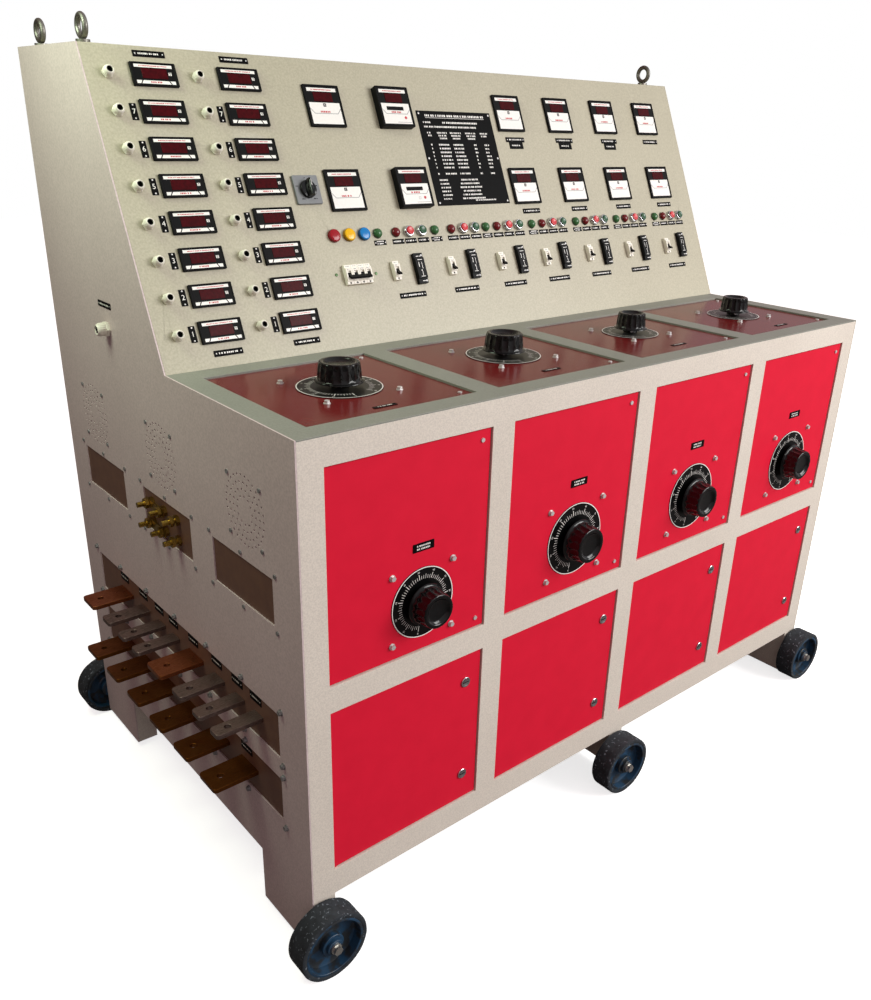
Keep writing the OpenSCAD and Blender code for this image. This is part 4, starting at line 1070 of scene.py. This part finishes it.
# a plate of any outline with one round hole through it
def piercedPlate(bm, place, points, hole, thick, material):
    edges = []
    for loop in (points, [polar(hole[2], radians(15 * k), *hole[:2]) for k in range(24)]):
        ring = [bm.verts.new((x, y, -thick / 2)) for x, y in loop]
        edges += [bm.edges.new((ring[k], ring[(k + 1) % len(ring)])) for k in range(len(ring))]
    filled = bmesh.ops.triangle_fill(bm, edges=edges, use_beauty=True)["geom"]
    faces = [g for g in filled if isinstance(g, bmesh.types.BMFace)]
    grown = bmesh.ops.extrude_face_region(bm, geom=faces)["geom"]
    tops = [g for g in grown if isinstance(g, bmesh.types.BMVert)]
    bmesh.ops.translate(bm, verts=tops, vec=(0, 0, thick))
    allVerts = {vertex for edge in edges for vertex in edge.verts} | set(tops)
    for face in {face for vertex in allVerts for face in vertex.link_faces}:
        face.material_index = material
    bmesh.ops.transform(bm, matrix=place, verts=list(allVerts))


def easeEdges(piece, width):
    easing = piece.modifiers.new("easedEdges", "BEVEL")
    easing.width = width / 1000
    easing.segments = 2
    easing.limit_method = "ANGLE"
    easing.angle_limit = radians(40)
    easing.harden_normals = False


def makeBars():
    bm = bmesh.new()
    long = bar["out"] + bar["inside"]
    hole = (0, long / 2 - bar["holeIn"], bar["holeR"])
    for row in ("upper", "lower"):
        for y, wide in bar[row]:
            start = spot(-(bar["out"] - bar["inside"]) / 2, y, bar[row + "Z"])
            shade = 2 if row == "lower" else 0 if wide > bar["wide"] else 1
            points = outline(wide, long, bar["corner"], 4)
            piercedPlate(bm, placeAt(start, (0, -1, 0), (-1, 0, 0)), points, hole, bar["thick"], shade)
    metals = [copper, tinned, copperDark]
    easeEdges(finishPiece("barSet", bm, metals, "copper_bars", angle=30), 0.7)


makeBars()
print("bars made")

# wheels: worn solid tread, dished hub with blue paint left in it
wheel = {"x": (14, 932, 1816), "radius": 79, "near": 5, "far": 61, "hub": 68}


def makeWheel(name, place, body, node):
    bm = bmesh.new()
    at = bm, place
    hub, near, far, r = wheel["hub"], wheel["near"], wheel["far"], wheel["radius"]

    def worn(size):
        return lambda turn: size - 0.35 * (1 + sin(5 * turn + size)) * (1 + sin(13 * turn)) / 2

    turned(at, [
        (hub, near + 1), (hub + 2, near), (r - 3.5, near), (worn(r - 1), near + 1), (worn(r), near + 4),
        (worn(r), near + 22), (worn(r - 0.3), near + 28), (worn(r), near + 34), (worn(r), far - 4),
        (worn(r - 1), far - 1), (r - 3.5, far), (hub + 2, far), (hub, far - 1), (hub, near + 1),
    ], 0, 96, ends="none")
    turned(at, [
        (6.2, near + 0.2), (25, near + 0.2), (26, near + 1), (26, 26), (30, 29), (57, 29.6), (61, 27),
        (62.3, near + 1.2), (63, near + 0.4), (67, near + 0.4), (hub - 0.05, near + 1), (hub - 0.05, far - 1),
        (67, far - 0.4), (63, far - 0.4), (62.3, far - 1.2), (61, 39), (57, 37), (34, 37), (27, 39), (26, 41),
        (25.5, far - 9), (24.5, far - 8), (18.5, far - 7.6), (18, far - 1), (17, far - 0.2), (6.2, far - 0.2),
        (6.2, near + 0.2),
    ], 1, 64, ends="none")
    finishPiece(name, bm, [rubber, hubPaint], node, body, 35)


for x, side in zip(wheel["x"], ("left", "middle", "right")):
    for end, onSide in (("front", onFace), ("back", onBack)):
        place = onSide(x, wheel["radius"])
        makeWheel(f"{end}Wheel{side.title()}", place, f"{end}_{side}_wheel", f"wheel_{end}_{side}")
print("wheels made")

# door locks: a turned head with a screwdriver slot
lock = {"radius": 12, "low": -3.7, "top": -0.7, "fromRight": 43, "heights": {"lower": 286, "upper": 529}}


def makeLock(bay, end):
    bm = bmesh.new()
    x = bench["bayStart"] + bay * bench["bayPitch"] + bench["bayWidth"] - lock["fromRight"]
    at = bm, onFace(x, lock["heights"][end])
    r, low, top = lock["radius"], lock["low"], lock["top"]
    sunk = top - 0.5
    head = [(r, low), (r, top - 0.8), (r - 0.8, top), (r - 3, top), (r - 3.6, sunk), (0.5, sunk)]
    turned(at, head, 0)
    turned(at, [(7, -24), (7, low)], 0, 20)
    plate(at, 0, 0, 15, 2.2, top - 0.7, top - 0.4, 1, 0.4, 0.1)
    node = f"lock_{bay + 1}_{end}"
    finishPiece(f"lockHead{bay + 1}{end.title()}", bm, [chrome, caseBlack], node, node)


for bay in bays:
    makeLock(bay, "lower")
    makeLock(bay, "upper")
print("locks made")

# what the construction model shows as it is: finishes and eased sheet edges
finishes = {
    "front_frame": (creamCoat, 1.2), "desk_frame": (deskCoat, 1.2), "instrument_hood": (hoodCoat, 1.2),
    "left_side": (sideCoat, 0), "right_side": (backCoat, 0.5), "back_panel": (backCoat, 0.5),
    "floor_pan": (innerCoat, 0.5), "legs": (creamCoat, 1.0), "lifting_eyes": (forged, 0),
    "upper_panels": (frontRed, 0), "desk_plates": (deskRedPaintedShade, 0),
    **{f"door_{bay + 1}": (frontRed, 0.5) for bay in bays},
    "variac_coils": (wire, 0), "variac_bases": (castAlloy, 0), "loading_transformers": (steel, 0),
    "terminal_boards": (laminate, 0.4), "brass_studs": (brass, 0), "cooling_fans": (caseBlack, 0),
    "wheel_axles": (steel, 0.4), "fasteners": (zinc, 0),
}
for name, (material, ease) in finishes.items():
    node = nodes[name]
    node.data.materials.clear()
    node.data.materials.append(material)
    if ease:
        joined = node.modifiers.new("joined", "WELD")
        joined.merge_threshold = 0.00002
        easeEdges(node, ease)
# the screws on the left side, which is in shade, get a darker copy of the zinc: painted shade
screws = nodes["fasteners"]
screws.data.materials.append(zincPaintedShade)
for face in screws.data.polygons:
    if (screws.matrix_world @ face.center).x < spot(5, 0, 0).x:
        face.material_index = 1
print("finishes set")

# where named things stand in the photograph, in image points
imagePoints = {
    "leftEdge": 18.5, "rightEdge": 857.5, "topEdge": 11.5, "bottomEdge": 984.0,
    "hoodTopLeft": (73.8, 40.3), "hoodTopRight": (665.5, 88.2),
    "deskFrontLeft": (296.3, 441.2), "deskFrontRight": (859.8, 318.9),
    "frontKnob1": (438.8, 609.4), "frontKnob2": (591.7, 545.6),
    "frontKnob3": (709.0, 498.9), "frontKnob4": (805.4, 463.0),
    "deskKnob1": (339.3, 360.5), "deskKnob2": (503.5, 332.5),
    "deskKnob3": (631.4, 315.4), "deskKnob4": (734.1, 298.4),
    "frontWheelMiddle": (620.4, 758.5), "frontWheelRight": (799.9, 651.6),
    "mainScrewLeft": (336.4, 275.0), "mainScrewRight": (376.0, 273.5),
}


# a screw beside the main breaker, put where the photograph shows it
def makeMainScrew(name):
    origin, normal = placeOnPieces(*imagePoints[name], [nodes["instrument_hood"]])
    bm = bmesh.new()
    at = bm, placeAt(origin, (1, 0, 0), normal.normalized().cross(Vector((1, 0, 0))))
    turned(at, [(2, -6), (2, 0.1), (3.8, 0.1), (3.8, 1.0), (3.2, 1.8), (1.8, 2.2), (0.3, 2.3)], 0, 20)
    plate(at, 0, 0, 5.2, 1.1, 1.9, 2.4, 1, 0.3, 0.1)
    finishPiece(name, bm, [verdigris, caseBlack], angle=35)


makeMainScrew("mainScrewLeft")
makeMainScrew("mainScrewRight")
print("screws made")


def finishedShape(piece, graph):
    finished = piece.evaluated_get(graph)
    mesh = finished.to_mesh()
    points = [piece.matrix_world @ vertex.co for vertex in mesh.vertices]
    faces = [list(face.vertices) for face in mesh.polygons]
    finished.to_mesh_clear()
    return points, faces


# how far in x and y each thing shows from its image point, by the finished vertices in view
def measurePoints():
    graph = bpy.context.evaluated_depsgraph_get()
    shown = {**pieces, **{name: nodes[name] for name in finishes}}
    shapes = {name: finishedShape(piece, graph) for name, piece in shown.items()}
    allPoints, allFaces = [], []
    for points, faces in shapes.values():
        start = len(allPoints)
        allPoints += points
        allFaces += [[start + k for k in face] for face in faces]
    tree = BVHTree.FromPolygons(allPoints, allFaces)
    eye = camera.matrix_world.translation

    def isInView(point):
        aim = point - eye
        found = tree.ray_cast(eye, aim.normalized())
        return found[0] is None or found[3] > aim.length - 0.002

    def marksOf(points):
        return [imageOf(point) for point in points if isInView(point)]

    across, down = zip(*(imageOf(point) for point in allPoints))
    seen = {"leftEdge": min(across), "rightEdge": max(across), "topEdge": min(down), "bottomEdge": max(down)}
    for stem, node in (("hoodTop", "instrument_hood"), ("deskFront", "front_frame")):
        marks = marksOf(shapes[node][0])
        for name in (stem + "Left", stem + "Right"):
            seen[name] = min(marks, key=lambda mark: dist(mark, imagePoints[name]))
    for name in imagePoints:
        if name in pieces:
            points = shapes[name][0]
            if "Knob" in name:
                # a knob's point is the middle of its flat end
                toDial = dials[name.split("Knob")[0]](int(name[-1]) - 1)[0].inverted()
                points = [point for point in points if (toDial @ point).z > knob["height"] - 0.5]
            seen[name] = [(min(values) + max(values)) / 2 for values in zip(*marksOf(points))]
    gaps = {}
    for name, point in imagePoints.items():
        if not seen.get(name):
            gaps[name] = None
        elif isinstance(point, tuple):
            gaps[name] = [round(seen[name][k] - point[k], 1) for k in range(2)]
        else:
            gaps[name] = round(seen[name] - point, 1)
    return gaps


measurePoints()
print("points measured")


# one shader for the camera's own rays and another for the light that bounces
def forCamera(tree, bounced, seen):
    path = addNode(tree, "LightPath").outputs["Is Camera Ray"]
    return addNode(tree, "MixShader", {0: path, 1: bounced.outputs[0], 2: seen.outputs[0]}).outputs[0]


def makeFloor():
    mesh = bpy.data.meshes.new("floorSheet")
    reach = 14
    corners = [(-reach, -reach, 0), (reach, -reach, 0), (reach, reach, 0), (-reach, reach, 0)]
    mesh.from_pydata(corners, [], [(0, 1, 2, 3)])
    material = bpy.data.materials.new("whiteFloor")
    material.use_nodes = True
    tree = material.node_tree
    tree.nodes.clear()
    # shade from the bench stays on it, and everywhere else it is lit past white
    matte = addNode(tree, "BsdfDiffuse", {"Color": (0.86, 0.86, 0.86, 1)})
    dusk = addNode(tree, "BsdfDiffuse", {"Color": (0.17, 0.165, 0.16, 1)})
    glow = addNode(tree, "Emission", {"Color": (1, 1, 1, 1), "Strength": 0.75})
    both = addNode(tree, "AddShader", {0: matte.outputs[0], 1: glow.outputs[0]})
    addNode(tree, "OutputMaterial", {"Surface": forCamera(tree, dusk, both)})
    mesh.materials.append(material)
    floor = addObject("floorSheet", mesh)


# the hall round the bench: the way to its bright side, its colours and its levels
hall = {
    "bright": (0.62, -0.62, 0.48), "dimColour": "#f0a9aa", "brightColour": "#f0f1f2",
    "dim": 0.1, "level": 0.85,
}


def areaLight(name, place, target, size, watts, colour):
    data = bpy.data.lights.new(name, "AREA")
    data.shape = "RECTANGLE"
    data.size, data.size_y = size
    data.energy = watts
    data.color = linear(colour)[:3]
    made = addObject(name, data)
    made.location = place
    made.rotation_euler = (Vector(target) - Vector(place)).to_track_quat("-Z", "Y").to_euler()


def makeLight():
    world = bpy.data.worlds.new("hall")
    bpy.context.scene.world = world
    world.use_nodes = True
    tree = world.node_tree
    tree.nodes.clear()
    # the hall is bright to the front right and above, and dim and warm behind the outlets
    where = addNode(tree, "TexCoord").outputs["Generated"]
    toward = addNode(tree, "VectorMath", {0: where, 1: hall["bright"]}, operation="DOT_PRODUCT")
    share = ranged(tree, toward.outputs["Value"], -0.6, 0.9)
    colour = mixed(tree, share, linear(hall["dimColour"]), linear(hall["brightColour"]))
    level = ranged(tree, share, 0, 1, hall["dim"], hall["level"])
    room = addNode(tree, "Background", {"Color": colour, "Strength": level})
    white = addNode(tree, "Background", {"Color": (1, 1, 1, 1), "Strength": 1.0})
    addNode(tree, "OutputWorld", {"Surface": forCamera(tree, room, white)})
    areaLight("windowLight", (2.6, -3.9, 2.9), (0.2, 0, 1.0), (3.0, 2.2), 212, "#fffdfb")
    areaLight("ceilingLight", (-1.5, 0.15, 2.15), (-0.9, 0.1, 1.5), (0.6, 0.6), 12, "#e8ffe0")


makeFloor()
makeLight()
bpy.context.scene.view_settings.view_transform = "Standard"
bpy.context.scene.view_settings.look = "None"
print("floor and light set")
